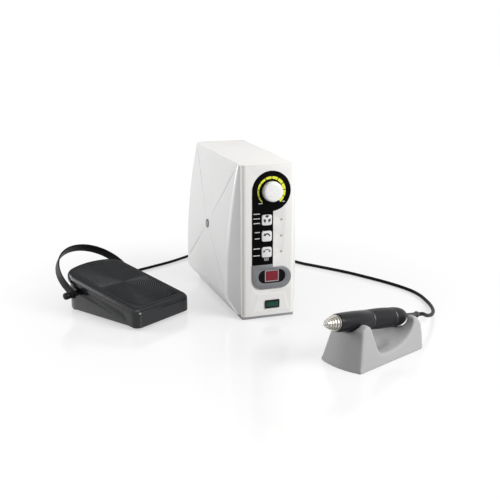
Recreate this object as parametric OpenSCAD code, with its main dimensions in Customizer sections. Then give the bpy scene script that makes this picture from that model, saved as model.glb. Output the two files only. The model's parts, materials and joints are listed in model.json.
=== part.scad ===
// Dental micromotor set: upright control unit, motor handpiece on a cradle stand, foot pedal
// and the two cords. Millimetres, +Z up, unit front towards -Y, origin on the table under the
// middle of the control unit.

/* [Control unit] */
// Width of the unit's front
unit_w = 83; // [80:1:110]
// Depth from the front face to the rear panel
unit_d = 240; // [210:1:300]
// Height above the table
unit_h = 240; // [236:1:300]
// Wall of the moulded covers
wall = 3; // [2:0.5:4]
// Depth of the front bezel
bezel_depth = 6.5; // [6:0.5:12]
// Radius of the bezel's upright edges
bezel_edge_r = 6; // [4:0.5:6]
// Height of the base tray under the covers
tray_h = 4; // [3:0.5:8]
// Floor thickness of the base tray
tray_floor = 2; // [1.5:0.5:2.5]
// Width of the tray's rim that stands on the table
tray_rim = 8; // [5:0.5:15]
// Depth of the top cover's side flanges
flange_depth = 22; // [10:1:30]

/* [Side panels] */
// Swell of a side panel's front ridge beyond the unit's front
panel_front_swell = 15; // [8:0.2:22]
// Distance of that ridge behind the bezel where it stands out most
panel_ridge_back = 28; // [16:1:40]
// Height above the panel's front corner at which the ridge would run out
panel_ridge_crown = 20; // [4:1:30]
// Swell of a side panel's rear edge
panel_rear_swell = 19.4; // [8:0.2:30]
// Swell at the badge in the middle
panel_badge_swell = 16.6; // [12:0.2:28]
// Height at which the panels are widest
panel_belly_z = 52; // [40:1:80]
// Height below which the panels tuck in
panel_knee_z = 28; // [15:1:36]
// How far the tucked-in lower edge stands out
panel_foot_swell = 4; // [2:0.5:8]
// Drop of the unit's top from its rear edge to the bezel
top_drop = 6; // [0:0.5:12]
// Length of the cut at the lower rear corner
panel_heel = 20; // [8:1:30]
// Diameter of the round badge
badge_d = 14; // [8:0.5:14]
// Thickness of the badge
badge_t = 1.6; // [1:0.1:2]
// Distance of the badge from the panel's front edge
badge_back = 118; // [90:1:130]
// Height of the badge
badge_z = 124; // [110:1:140]

/* [Front controls] */
// Sideways place of the dial
dial_x = 4; // [-4:0.5:8]
// Drop of the dial's centre below the unit's top
dial_drop = 45.5; // [40:0.5:50]
// Radius of the black disc behind the dial
dial_disc_r = 30; // [27:0.5:31]
// Diameter of the speed knob
knob_d = 30.5; // [26:0.5:40]
// Height of the knob above the overlay
knob_h = 9.5; // [9:0.5:18]
// Radius of the knob's rim
knob_edge_r = 2; // [1:0.25:3]
// Diameter of the potentiometer's shaft
pot_shaft_d = 6; // [4:0.25:6.5]
// Diameter of the potentiometer's body
pot_d = 17; // [14:0.5:20]
// Thickness of the label sheet
overlay_t = 0.5; // [0.3:0.1:0.8]
// Left edge of the label's upright strip
strip_left = -26; // [-28:0.5:-18]
// Right edge of the label's upright strip
strip_right = 6.8; // [5:0.1:10]
// Sideways place of the buttons
button_x = -3.5; // [-7:0.5:-1]
// Width and height of a button
button_w = 15.5; // [10:0.5:16]
// Corner radius of a button
button_r = 3; // [1:0.25:4]
// How far a button stands out
button_proud = 2.5; // [1.5:0.25:4]
// Travel of a button
button_travel = 1.2; // [0.6:0.1:1.4]
// Distance from the dial's centre down to the first button
button_drop = 42.3; // [40:0.1:46]
// Distance between buttons
button_pitch = 24.5; // [22:0.1:26]
// Sideways place of the indicator lamps
led_x = 20.1; // [16:0.1:24]
// Diameter of an indicator lamp
led_d = 3; // [2:0.25:5]
// Clearance round moving caps
cap_gap = 0.35; // [0.25:0.05:0.6]

/* [Display] */
// Share of the free height between the lowest button and the switch that lies below the frame
frame_below = 0.61; // [0.3:0.01:0.8]
// Left and right ends of the grey frame
frame_left = -25.9; // [-30:0.1:-22]
frame_right = 36; // [32:0.1:38]
// Height of the frame's round right end
frame_h = 33.4; // [30:0.2:36]
// How far the frame's left part reaches above the round end
frame_step = 4.6; // [2:0.1:6]
// Drop of the frame's middle below the display's centre
frame_low = 2.5; // [0:0.1:4]
// Thickness of the frame
frame_t = 1.6; // [1:0.1:3]
// Radius of the frame's lower left corner
frame_corner_r = 16; // [5:0.5:16]
// Sideways place of the display's centre
display_x = 5.1; // [3:0.1:8]
// Length of the dark window
window_w = 43; // [38:0.5:46]
// Height of the dark window
window_h = 20.4; // [18:0.2:22]
// Thickness of the dark window
window_t = 1.2; // [0.8:0.1:2]
// Width of the two-digit display
display_w = 21; // [14:0.1:22]
// Height of the two-digit display
display_h = 16.5; // [10:0.1:16.5]

/* [Power switch] */
// Sideways place of the switch
rocker_x = 6.1; // [0:0.1:10]
// Height of the switch above the table
rocker_z = 21.5; // [18:0.1:22]
// Width of the switch frame
switch_w = 22.8; // [18:0.1:26]
// Height of the switch frame
switch_h = 12.6; // [10:0.1:14]
// Thickness of the switch frame
switch_flange_t = 2; // [1:0.25:3]
// Width of the frame round the rocker
switch_rim = 1.8; // [1.4:0.1:2]
// Depth of the switch body behind the front face
switch_depth = 14; // [11:0.5:18]
// Tilt of the rocker to either side
rocker_tilt = 6; // [4:0.5:8]
// Diameter of the rocker's pivots
rocker_pin_d = 2; // [1.5:0.1:2.5]

/* [Electronics] */
// Gap between the front wall and the front board
board_gap = 10; // [9:0.5:14]
// Thickness of the circuit boards
board_t = 1.6; // [1:0.2:2.4]
// Width of the front board
front_board_w = 64; // [62:1:66]
// Diameter of the board pillars
pillar_d = 6; // [4:0.5:7]
// Height of the main board's pillars
pillar_h = 8; // [5:0.5:14]
// Width of the main board
main_board_w = 66; // [50:1:68]
// Length of the main board
main_board_l = 90; // [60:1:108]
// Distance of the circuit board from the unit's front
main_board_back = 27; // [25:0.5:30]
// Diameter, height and spacing of the capacitors on it
capacitor_d = 14; // [8:0.5:18]
capacitor_h = 20; // [12:1:40]
capacitor_pitch = 20; // [19:0.5:24]
// Thickness, length and height of the heat sink on it
sink_w = 10; // [4:0.5:14]
sink_l = 45; // [30:1:60]
sink_h = 28; // [15:1:50]
// Width, length and height of the transformer's core
core_w = 62; // [50:1:66]
core_l = 34; // [25:1:45]
core_h = 52; // [40:1:65]
// How far the winding stands out of the core
winding_out = 13; // [8:1:16]

/* [Rear connectors] */
// Width and height of the mains inlet's flange
inlet_w = 40; // [36:0.5:44]
inlet_h = 25; // [23:0.5:28]
// Height of the mains inlet's centre
inlet_z = 28; // [24:0.5:34]
// Width and height of the inlet's recess
recess_w = 24.4; // [22:0.2:26]
recess_h = 16.6; // [15:0.2:18]
// Depth of the inlet's recess
recess_depth = 17; // [15:0.5:20]
// How far the pins stop behind the inlet's face
pin_setback = 6; // [5:0.5:8]
// Diameter of the round sockets' bodies
socket_d = 16; // [14:0.5:20]
// Diameter of the sockets' rims
socket_rim_d = 20; // [18:0.5:24]
// Depth of a socket's body inside the rear panel
socket_depth = 18; // [15:0.5:24]
// Diameter of a plug's nose
plug_nose_d = 12.6; // [11:0.2:13.5]
// Diameter of a plug's shell
plug_d = 17; // [15:0.5:20]
// Length of a plug's shell
plug_l = 26; // [20:1:34]
// Length of a plug's tapered tail
plug_tail = 11; // [8:0.5:16]
// Height of the sockets
socket_z = 64; // [58:1:90]
// Sideways places of the handpiece and pedal sockets
handpiece_socket_x = 22; // [18:0.5:26]
pedal_socket_x = -18; // [-26:0.5:-8]
// Diameter of the rear screws
screw_d = 3; // [2:0.25:4]
// Diameter of the screw heads
screw_head_d = 6; // [5:0.25:8]

/* [Handpiece] */
// Length of the metal nose
nose_l = 19; // [17:0.5:26]
// Largest diameter of the metal nose
nose_d = 19.6; // [17:0.2:20]
// Length of the front grip
grip_l = 63.5; // [58:0.5:75]
// Diameter of the front grip
grip_d = 26.4; // [24:0.2:28]
// Diameter of the grip's front end
grip_front_d = 23.4; // [22:0.2:25]
// Width of the thin rings
ring_w = 2.5; // [1.5:0.1:4]
// Length of the motor housing
motor_l = 46; // [44:0.5:56]
// Largest diameter of the motor housing
motor_d = 28; // [26.5:0.1:30]
// Diameter of the motor housing at its ends
motor_end_d = 26.8; // [25.6:0.1:28]
// Wall of the motor housing
motor_wall = 2; // [1.5:0.1:2.4]
// Length of the rear cap
cap_l = 28; // [20:0.5:32]
// Length of the cord boot behind the cap
boot_l = 35.5; // [24:0.5:40]
// Diameter of the cord boot
boot_d = 7; // [6.5:0.1:8.5]
// Diameter of the boot's end collar
boot_collar_d = 9; // [8.6:0.1:11]
// Diameter of the bearing tube inside the grip
nose_tube_d = 20; // [18:0.1:21]
// Diameter of the bearings
bearing_d = 15; // [12:0.5:16]
// Width of the bearings
bearing_w = 5; // [3:0.25:7]
// Diameter of the spindle shaft
spindle_d = 6; // [5:0.1:7]
// Diameter of the rotor
rotor_d = 14; // [10:0.5:16]
// Air gap between the rotor and the stator
rotor_gap = 0.3; // [0.2:0.05:0.6]
// Diameter of the collet
collet_d = 3.8; // [3.2:0.1:4.2]
// Diameter of the bur's shank
shank_d = 2.35; // [1.6:0.05:2.6]
// How far the bur reaches out of the nose
bur_reach = 8; // [5:0.5:30]
// Radial clearance of turning fits
running_gap = 0.05; // [0.02:0.01:0.1]

/* [Stand] */
// Length of the cradle
stand_l = 141; // [134:1:160]
// Width of the cradle at the table
stand_w = 69; // [60:1:80]
// Inward lean of the long sides at the top of the front upright
stand_lean = 10; // [4:0.5:12]
// Height of the front upright
stand_front_h = 57; // [54:0.5:58]
// Height of the rear upright
stand_rear_h = 47; // [43:0.5:49]
// Height of the scoop's lowest point
scoop_z = 14; // [10:0.5:20]
// Radius of the stand's bowed front end in plan
stand_bow_r = 100; // [85:1:200]
// Backward lean of the bowed front end, degrees
stand_rake = 17.5; // [12:0.5:19]
// Radius of the scoop's bowl and how far it dips below the scoop's profile
bowl_r = 40; // [36:0.5:48]
bowl_dip = 4; // [2:0.25:6]
// Radius of the stand's corners on the table
stand_corner_r = 8; // [4:0.5:12]
// Clearance of the handpiece in its cradle
cradle_gap = 0.3; // [0.2:0.05:0.6]
// Nose-up tilt of the resting handpiece
rest_tilt = 9.9; // [8:0.1:11]
// Height of the handpiece's axis at the grip's front end
rest_z = 63; // [62:0.1:67]
// How far the grip's front end lies past the stand's front edge
rest_overhang = 5; // [3:0.5:10]

/* [Foot pedal] */
// Width of the pedal
pedal_w = 113; // [104:1:130]
// Length of the pedal
pedal_l = 174; // [166:1:186]
// Height of the treadle's front edge
pedal_front_h = 28.5; // [27:0.5:31]
// Height of the treadle's rear edge
pedal_rear_h = 63; // [62:0.5:70]
// Radius of the pedal's front corners in plan
pedal_corner_r = 10; // [8:0.5:16]
// Radius of the pedal's rear corners in plan
pedal_rear_r = 30; // [26:0.5:36]
// Radius of the pedal's bowed back edge
pedal_bow_r = 120; // [100:1:200]
// Wall of the treadle and the pedal's base
pedal_wall = 3; // [2.5:0.25:4]
// Depth of the treadle's skirt
skirt_h = 12; // [10:0.5:12.5]
// Length of the treadle's deep toe
toe_l = 19; // [17:0.5:24]
// Gap between the toe and the table
toe_gap = 3; // [2:0.25:5]
// Radius of the treadle's front edge
toe_r = 9; // [5:0.5:12]
// Gap between the skirt and the base
skirt_gap = 0.6; // [0.4:0.1:1]
// Distance of the hinge from the pedal's front
hinge_back = 11; // [10:0.5:12]
// Height of the hinge
hinge_z = 12; // [11:0.5:13]
// Diameter of the hinge pin
hinge_d = 5; // [4:0.25:6]
// Travel of the treadle, degrees
treadle_travel = 3; // [2:0.25:3]
// Height and diameter of the rubber feet
foot_h = 3; // [2:0.25:4]
foot_d = 14; // [10:0.5:18]
// Distance of the bail's pivot from the pedal's rear
bail_fore = 40.5; // [38:0.5:44]
// Height of the bail's pivot
bail_z = 31.5; // [29:0.5:32]
// Lean of the resting bail behind the upright, degrees
bail_lean = 56; // [50:1:60]
// Reach of the bail from its pivot
bail_reach = 86.5; // [82:0.5:110]
// Length of the bail's straight legs
bail_leg = 19; // [14:0.5:30]
// Width of the bail's strip
bail_w = 14; // [10:0.5:15]
// Thickness of the bail's strip
bail_t = 2.5; // [2:0.1:4]
// Gap between the pedal's side and the bail
bail_clear = 4.4; // [4:0.1:8]
// Diameter of the bail's screws
bail_screw_d = 6; // [4:0.25:7]
// Diameter of the pivot bosses
bail_boss_d = 9; // [8.5:0.25:9.5]
// Diameter and length of the screw knobs
bail_knob_d = 11; // [8:0.5:14]
bail_knob_l = 14; // [8:0.5:22]
// Diameter of the springs and their seats
spring_d = 12; // [8:0.5:16]
// Height of the spring seats
spring_seat_h = 20; // [12:1:26]
// Distance of the springs from the pedal's rear
spring_fore = 34; // [32:1:46]
// Sideways place of the cord outlet
gland_x = 23; // [0:1:36]
// Height of the cord outlet
gland_z = 14; // [12:0.5:20]
// Diameter and length of the cord outlet
gland_d = 10; // [8:0.5:12]
gland_l = 14; // [8:0.5:20]

/* [Cords] */
// Diameter of the handpiece cord
handpiece_cord_d = 5.5; // [4:0.25:6]
// Diameter of the pedal cord
pedal_cord_d = 5; // [4:0.25:5.5]
// Turns of the handpiece cord's coil, in quarters past whole turns
handpiece_turns = 4.25; // [2.25:1:7.25]
// Turns of the pedal cord's coil, in quarters past whole turns
pedal_turns = 6.25; // [2.25:1:8.25]
// Inner radius of the handpiece cord's coil
handpiece_coil_r = 23; // [20:0.5:26]
// Inner radius of the pedal cord's coil
pedal_coil_r = 17.5; // [15:0.5:22]
// Room between neighbouring turns of a layer
turn_gap = 1.7; // [1.5:0.1:2.5]
// Room between the two layers of a coil
layer_gap = 0.7; // [0.6:0.1:1.5]
// Thickness of the coil ties
tie_t = 1; // [0.6:0.1:1.5]
// Width of the coil ties
tie_w = 12; // [8:0.5:16]

/* [Hidden] */
$fn = 64;

// Small clearances and overlaps of cutting tools
slip = 0.1;
cut = 1;

// Places on the control unit
front_y = -unit_d / 2;
rear_y = unit_d / 2;
half_w = unit_w / 2;
front_top = unit_h - top_drop;
bezel_back_y = front_y + bezel_depth;
front_inner_y = front_y + wall;
dial_z = unit_h - dial_drop;
button_z = [for (i = [0:2]) dial_z - button_drop - i * button_pitch];
frame_end_r = frame_h / 2;
frame_floor_z = rocker_z + switch_h / 2;
frame_room = button_z[2] - button_w / 2 - frame_floor_z - frame_h - frame_step;
frame_z = frame_floor_z + frame_below * frame_room + frame_end_r;
display_z = frame_z + frame_low;
frame_top_z = frame_z + frame_end_r + frame_step;
board_y = front_inner_y + board_gap;
front_board_top = dial_z + pot_d / 2 + pillar_d + 4;
front_board_bottom = display_z - display_h / 2 - pillar_d - 2;
front_board_mid = (front_board_top + front_board_bottom) / 2;
front_board_h = front_board_top - front_board_bottom;
pillar_inset = pillar_d / 2 + 1;
bushing_d = pot_shaft_d + 2.4;
bushing_reach = 2;
knob_back_y = front_y - overlay_t - 0.5;
knob_socket_l = knob_h - 3;
switch_key_h = 3.5;
switch_plunger_h = 1;
button_flange = 1.5;
button_stem_d = 4;

// Places on the side panels
panel_y0 = bezel_back_y;
main_board_y = front_y + main_board_back;
panel_top_front = front_top - wall / 2;
panel_top_rear = unit_h - wall / 2;
panel_steps = 6;
badge_y = panel_y0 + badge_back;
panel_floor = 2;

// Rear connectors
inlet_flange_t = 2.5;
inlet_back = recess_depth + 3;
socket_rim_t = 3;
socket_wall = 1.4;
plug_grip_gap = 0.2;
plug_start_y = rear_y + socket_rim_t + plug_grip_gap;
plug_end_y = plug_start_y + plug_l + plug_tail;
screw_inset = 8;

// Handpiece stations along its axis, from the grip's front end backwards
ring1_s = grip_l;
motor_s = ring1_s + ring_w;
ring2_s = motor_s + motor_l;
cap_s = ring2_s + ring_w;
boot_s = cap_s + cap_l;
boot_end_s = boot_s + boot_l;
motor_bore_d = motor_end_d - 2 * motor_wall;
nose_bore_d = bearing_d;
axial_gap = 0.3;
rotor_s = motor_s + 7;
rotor_l = motor_l - 14;
nose_collar_l = 1.5;

// Where the stand, the resting handpiece and the pedal are set down
stand_at = [81.3, -300.6];
stand_turn = 23.1;
pedal_at = [-199.2, -11.3];
pedal_turn = 33;
rest_x = -stand_l / 2 - rest_overhang;
bowl_x = 70 - stand_l / 2;

// The treadle's top line
pedal_slope = (pedal_rear_h - pedal_front_h) / pedal_l;
pedal_pitch = atan(pedal_slope);
hinge_y = -pedal_l / 2 + hinge_back;
bail_y = pedal_l / 2 - bail_fore;
spring_y = pedal_l / 2 - spring_fore;
base_inset = pedal_wall + skirt_gap;
base_half_w = pedal_w / 2 - base_inset;
base_front_y = -pedal_l / 2 + 5.5;
base_rear_y = pedal_l / 2 - base_inset;
rear_x = pedal_w / 2 - pedal_rear_r;
bow_y = pedal_l / 2 - pedal_bow_r;
rear_y_mid = bow_y + sqrt(pow(pedal_bow_r - pedal_rear_r, 2) - rear_x * rear_x);
bow_start = atan2(rear_y_mid - bow_y, rear_x);
plate_drop = pedal_wall / cos(pedal_pitch);
bail_inner_x = pedal_w / 2 + bail_clear;
bail_stop_d = 4;
base_clear = 2.4;
bail_stop_at = 4.5;

// Coils: middle, turning direction and starting angle
handpiece_coil_at = [105, 190];
handpiece_coil_start = 0;
pedal_coil_at = [10, 220];
pedal_coil_start = 90;
coil_sides = 6;
coil_rings = 24;
cord_sides = 8;
cord_steps = 2;

// Routes of the cords over the table, between the points that the fittings give
handpiece_route = [
    [198.5, -245, 22], [215.5, -229, 15.5], [231.5, -209, 10.5], [243.8, -190, 7], [255.6, -165, 4.5],
    [264, -138, 3.2], [269, -110, 3], [268, -83, 3], [260, -52, 3], [248.5, -22, 3], [234.5, 8, 3],
    [217.5, 42, 3], [199, 72, 3], [179, 102, 3], [160, 130, 3], [148, 155, 3.5]
];
handpiece_lead_route = [[72, 226, 14], [48, 214, 32], [30, 196, 52]];
pedal_route = [
    [-243.5, 106, 6], [-241.5, 124, 2.5], [-227, 143, 2.5], [-201, 160, 2.5], [-167.5, 174, 2.5],
    [-131, 190, 2.5], [-101, 205, 2.5], [-69, 222, 2.5], [-40, 240, 3], [-18, 254, 3.5]
];
pedal_lead_route = [[44, 188, 16], [24, 182, 34], [-2, 190, 52]];

// General functions

function unit_vec(v) = v / norm(v);
function arc(c, r, a0, a1, n = 6) = [for (i = [0:n]) let (a = a0 + (a1 - a0) * i / n) c + r * [cos(a), sin(a)]];
function round_rect(w, h, r) = concat(
    arc([w / 2 - r, h / 2 - r], r, 0, 90), arc([r - w / 2, h / 2 - r], r, 90, 180),
    arc([r - w / 2, r - h / 2], r, 180, 270), arc([w / 2 - r, r - h / 2], r, 270, 360));
function bezier(a, b, c, d, n) = [for (i = [0:n]) let (t = i / n, s = 1 - t)
    s * s * s * a + 3 * s * s * t * b + 3 * s * t * t * c + t * t * t * d];
function turned(p, a) = [p[0] * cos(a) - p[1] * sin(a), p[0] * sin(a) + p[1] * cos(a)];
function on_table(at, turn, p) = let (q = turned(p, turn)) [at[0] + q[0], at[1] + q[1], p[2]];
function handpiece_point(s) = on_table(stand_at, stand_turn,
    [rest_x + s * cos(rest_tilt), 0, rest_z - s * sin(rest_tilt)]);
function pedal_point(p) = on_table(pedal_at, pedal_turn, p);
function treadle_z(y) = pedal_front_h + (y + pedal_l / 2) * pedal_slope;
function spline(a, b, c, d, t) = 0.5 * (2 * b + (c - a) * t + (2 * a - 5 * b + 4 * c - d) * t * t
    + (3 * b - a - 3 * c + d) * t * t * t);
function smooth(p, n) = let (last = len(p) - 1) concat(
    [for (i = [0:last - 1], j = [0:n - 1])
        spline(p[max(i - 1, 0)], p[i], p[i + 1], p[min(i + 2, last)], j / n)], [p[last]]);
function heading(p, i) = unit_vec(p[min(i + 1, len(p) - 1)] - p[max(i - 1, 0)]);
function ring_points(c, t, r, n) = let (s = unit_vec(cross(t, [0, 0, 1])), u = cross(s, t))
    [for (k = [0:n - 1]) c + r * (cos(360 * k / n) * s + sin(360 * k / n) * u)];

// Coil geometry: in on the lower layer, up during the middle half turn, out on the upper one

function coil_r(t, turns, r, pitch) = r + pitch * max(abs(t - turns / 2) - 0.25, 0);
function coil_z(t, turns, z, layer) = z + layer * min(max(2 * (t - turns / 2) + 0.5, 0), 1);
function coil_turns(at, start, way, turns, r, d) = [for (i = [0:coil_rings * turns])
    let (t = i / coil_rings, a = start + way * 360 * t, q = coil_r(t, turns, r, d + turn_gap))
    [at[0] + q * cos(a), at[1] + q * sin(a), coil_z(t, turns, tie_t + slip + d / 2, d + layer_gap)]];
function coil_heading(start, way, t) = let (a = start + way * 360 * t) way * [-sin(a), cos(a), 0];
function coil_path(at, start, way, turns, r, d) = let (p = coil_turns(at, start, way, turns, r, d))
    concat([p[0] - d * coil_heading(start, way, 0)], p,
        [p[len(p) - 1] + d * coil_heading(start, way, turns)]);
function coil_outer(turns, r, d) = coil_r(0, turns, r, d + turn_gap);
function least_gap(p, d) = min([for (i = [0:len(p) - 1], j = [i + 8:1:len(p) - 1]) norm(p[i] - p[j])]) - d;

handpiece_coil = coil_path(handpiece_coil_at, handpiece_coil_start, 1, handpiece_turns,
    handpiece_coil_r, handpiece_cord_d);
pedal_coil = coil_path(pedal_coil_at, pedal_coil_start, -1, pedal_turns, pedal_coil_r, pedal_cord_d);

// A cord route whose ends leave two fittings squarely
function led(a, a_way, route, b, b_way, d) = concat([a, a + 2 * d * a_way], route, [b - 2 * d * b_way, b]);
// A smoothed route whose first and last stretches stay straight
function laid(p) = let (q = smooth(p, cord_steps), last = len(q) - 1)
    concat([q[0]], [for (i = [cord_steps:last - cord_steps]) q[i]], [q[last]]);

// Shared modules

// A plate standing on the plane y, reaching forward by t, from an outline in X and Z
module front_plate(y, t) {
    translate([0, y, 0]) rotate([90, 0, 0]) linear_extrude(t) children();
}

module front_rod(x, z, y0, y1, d) {
    translate([x, y1, z]) rotate([90, 0, 0]) cylinder(h = y1 - y0, d = d);
}

module rounded_hole(x, z, w, h, r) {
    translate([x, z]) polygon(round_rect(w, h, r));
}

module at_handpiece() {
    translate([stand_at[0], stand_at[1], 0]) rotate(stand_turn) translate([rest_x, 0, rest_z])
        rotate([0, 90 + rest_tilt, 0]) children();
}

module at_stand() {
    translate([stand_at[0], stand_at[1], 0]) rotate(stand_turn) children();
}

module at_pedal() {
    translate([pedal_at[0], pedal_at[1], 0]) rotate(pedal_turn) children();
}

// A turned piece from its outline as [radius, station] points
module turned_piece(outline) {
    rotate_extrude() polygon(outline);
}

// A prism across the pedal from an outline in Y and Z
module across(half, outline) {
    translate([-half, 0, 0]) rotate([90, 0, 90]) linear_extrude(2 * half) polygon(outline);
}

module tube(path, d, n) {
    last = len(path) - 1;
    points = [for (i = [0:last]) each ring_points(path[i], heading(path, i), d / 2, n)];
    sides = [for (i = [0:last - 1], k = [0:n - 1]) let (a = i * n + k, b = i * n + (k + 1) % n)
        each [[a, b, b + n], [a, b + n, a + n]]];
    ends = [for (k = [1:n - 2]) each [[0, k + 1, k], [last * n, last * n + k, last * n + k + 1]]];
    polyhedron(points, concat(sides, ends), convexity = 10);
}

// Control unit: casing

module bezel_plan(inset) {
    r = bezel_edge_r - inset;
    w = half_w - inset;
    polygon(concat(arc([-w + r, front_y + inset + r], r, 180, 270), arc([w - r, front_y + inset + r], r, 270, 360),
        [[w, bezel_back_y + (inset > 0 ? cut : 0)], [-w, bezel_back_y + (inset > 0 ? cut : 0)]]));
}

module front_openings() {
    translate([dial_x, dial_z]) circle(d = bushing_d + 2 * slip);
    for (z = button_z) rounded_hole(button_x, z, button_w + 2 * cap_gap, button_w + 2 * cap_gap, button_r);
}

module board_pillars() {
    for (x = [-1, 1], z = [front_board_bottom + pillar_inset, front_board_top - pillar_inset])
        front_rod(x * (front_board_w / 2 - pillar_inset), z, front_inner_y, board_y, pillar_d);
}

module front_bezel() color("whitesmoke") {
    difference() {
        translate([0, 0, tray_h]) linear_extrude(front_top - tray_h) bezel_plan(0);
        translate([0, 0, tray_h + wall]) linear_extrude(front_top - tray_h - 2 * wall) bezel_plan(wall);
        front_plate(front_inner_y + cut, wall + 2 * cut) {
            front_openings();
            translate([display_x, display_z]) square([display_w + 1, display_h + 1], center = true);
            for (z = button_z) translate([led_x, z - 1]) circle(d = led_d + 2 * slip);
            translate([rocker_x, rocker_z])
                square([switch_w - switch_rim + 2 * slip, switch_h - switch_rim + 2 * slip], center = true);
        }
    }
    board_pillars();
}

function top_z(y) = unit_h - top_drop * (rear_y - y) / (rear_y - bezel_back_y);

// A strip under the slanting top, w wide from x on, from y0 to y1, between the depths a and b
module under_top(x, w, y0, y1, a, b) {
    translate([x, 0, 0]) rotate([90, 0, 90]) linear_extrude(w)
        polygon([[y0, top_z(y0) - b], [y1, top_z(y1) - b], [y1, top_z(y1) - a], [y0, top_z(y0) - a]]);
}

module top_cover() color("whitesmoke") {
    under_top(-half_w, unit_w, bezel_back_y, rear_y, 0, wall);
    for (x = [-half_w, half_w - wall]) under_top(x, wall, bezel_back_y, rear_y - wall, wall / 2, wall + flange_depth);
}

// Share of the full swell at height z, none at the height top
function swell(top, z) = 1 - pow(max(z - panel_belly_z, 0) / (top - panel_belly_z), 2);
function panel_edge(y, back, most, top, crown, out) = [for (i = [0:panel_steps])
    let (z = panel_knee_z + (top - panel_knee_z) * i / panel_steps, s = swell(top + crown, z))
        [half_w + out + most * s, y + back * s, z]];

// A side panel's bulk on the right, shrunk by t on every outer face
module panel_bulk(t) {
    inner = half_w - (t > 0 ? cut : 0);
    y0 = panel_y0 + t;
    y1 = rear_y - t;
    z0 = tray_h + panel_floor + t;
    top_front = panel_top_front - 3 * t;
    top_rear = panel_top_rear - 3 * t;
    foot_back = panel_ridge_back * panel_foot_swell / panel_front_swell;
    points = concat(panel_edge(y0, panel_ridge_back, panel_front_swell, top_front, panel_ridge_crown, -t),
        panel_edge(y1, 0, panel_rear_swell, top_rear, 0, -t),
        [[half_w + panel_badge_swell - t, badge_y, badge_z],
         [half_w + panel_foot_swell - t / 2, y0 + foot_back, z0],
         [half_w + panel_foot_swell - t / 2, y1 - panel_heel, z0],
         [inner, y0, z0], [inner, y1 - panel_heel, z0], [inner, y1, panel_knee_z],
         [inner, y0, top_front], [inner, y1, top_rear]]);
    hull() polyhedron(points, [[for (i = [0:len(points) - 1]) i]]);
}

module side_panel() {
    difference() {
        panel_bulk(0);
        panel_bulk(wall);
        translate([half_w + panel_badge_swell - badge_t / 2, badge_y, badge_z]) rotate([0, 90, 0])
            cylinder(h = badge_t + cut, d = badge_d + 2 * slip);
    }
}

module left_side_panel() color("gainsboro") mirror([1, 0, 0]) side_panel();

module right_side_panel() color("gainsboro") side_panel();

module side_badges() color("dimgray") {
    for (side = [-1, 1]) translate([side * (half_w + panel_badge_swell), badge_y, badge_z]) rotate([0, 90, 0])
        cylinder(h = badge_t, d = badge_d, center = true);
}

module screw_places() {
    for (x = [-1, 1], z = [tray_h + screw_inset, unit_h - wall - screw_inset])
        translate([x * (half_w - screw_inset), z]) children();
}

module rear_panel() color("lightgray") {
    difference() {
        front_plate(rear_y, wall) translate([-half_w, tray_h])
            square([unit_w, top_z(rear_y - wall) - wall - tray_h]);
        front_plate(rear_y + cut, wall + 2 * cut) {
            translate([0, inlet_z]) square([recess_w + 2 * wall + 2 * slip, recess_h + 2 * wall + 2 * slip], center = true);
            for (x = [handpiece_socket_x, pedal_socket_x]) translate([x, socket_z]) circle(d = socket_d + 2 * slip);
            screw_places() circle(d = screw_d + 2 * slip);
            for (i = [0:6]) translate([0, unit_h / 2 + 10 + 10 * i]) square([44, 4], center = true);
        }
    }
}

module base_tray() color("dimgray") {
    w = unit_w - 1;
    d = unit_d - 2;
    difference() {
        translate([-w / 2, -d / 2, 0]) cube([w, d, tray_h]);
        translate([tray_rim - w / 2, tray_rim - d / 2, -cut])
            cube([w - 2 * tray_rim, d - 2 * tray_rim, tray_h - tray_floor + cut]);
    }
    for (x = [-1, 1], y = [pillar_inset, main_board_l - pillar_inset])
        translate([x * (main_board_w / 2 - pillar_inset), main_board_y + y, tray_h])
            cylinder(h = pillar_h, d = pillar_d);
}

module case_screws() color("silver") {
    front_plate(rear_y, wall + 4) screw_places() circle(d = screw_d);
    front_plate(rear_y + 2, 2) screw_places() circle(d = screw_head_d);
}

// Control unit: front controls

module control_overlay() color("black") {
    front_plate(front_y, overlay_t) difference() {
        union() {
            translate([dial_x, dial_z]) circle(dial_disc_r);
            translate([strip_left, frame_top_z + slip]) square([strip_right - strip_left, dial_z - frame_top_z - slip]);
        }
        front_openings();
    }
}

function frame_outline() = concat(
    arc([frame_left + frame_corner_r, frame_z - frame_end_r + frame_corner_r], frame_corner_r, 180, 270),
    arc([frame_right - frame_end_r, frame_z], frame_end_r, -90, 90, 16),
    [[strip_right, frame_z + frame_end_r], [strip_right, frame_top_z], [frame_left, frame_top_z]]);
function window_outline(grow) = round_rect(window_w + 2 * grow, window_h + 2 * grow, window_h / 2 + grow - 0.01);

module display_bezel() color("gray") {
    front_plate(front_y, frame_t) difference() {
        polygon(frame_outline());
        translate([display_x, display_z]) polygon(window_outline(slip));
    }
}

module display_window() color("black") {
    front_plate(front_y, window_t) translate([display_x, display_z]) difference() {
        polygon(window_outline(0));
        square([display_w + 2 * slip, display_h + 2 * slip], center = true);
    }
}

module display_module() color("firebrick") {
    front_plate(board_y, board_y - front_y + window_t) translate([display_x, display_z])
        square([display_w, display_h], center = true);
}

module indicator_leds() color("white") {
    for (z = button_z) {
        front_rod(led_x, z - 1, front_y - 0.8, board_y, led_d);
        front_rod(led_x, z - 1, board_y - 2, board_y, led_d + 1);
    }
}

module speed_knob() color("white") {
    r = knob_d / 2;
    translate([dial_x, knob_back_y, dial_z]) rotate([90, 0, 0]) turned_piece(concat(
        [[bushing_d / 2 + 1, 0], [r, 0]], arc([r - knob_edge_r - 0.8, knob_h - knob_edge_r], knob_edge_r, 0, 90),
        [[0, knob_h], [0, knob_socket_l], [pot_shaft_d / 2 + slip / 4, knob_socket_l],
         [pot_shaft_d / 2 + slip / 4, bushing_reach + 1], [bushing_d / 2 + 1, bushing_reach + 1]]));
}

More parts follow.
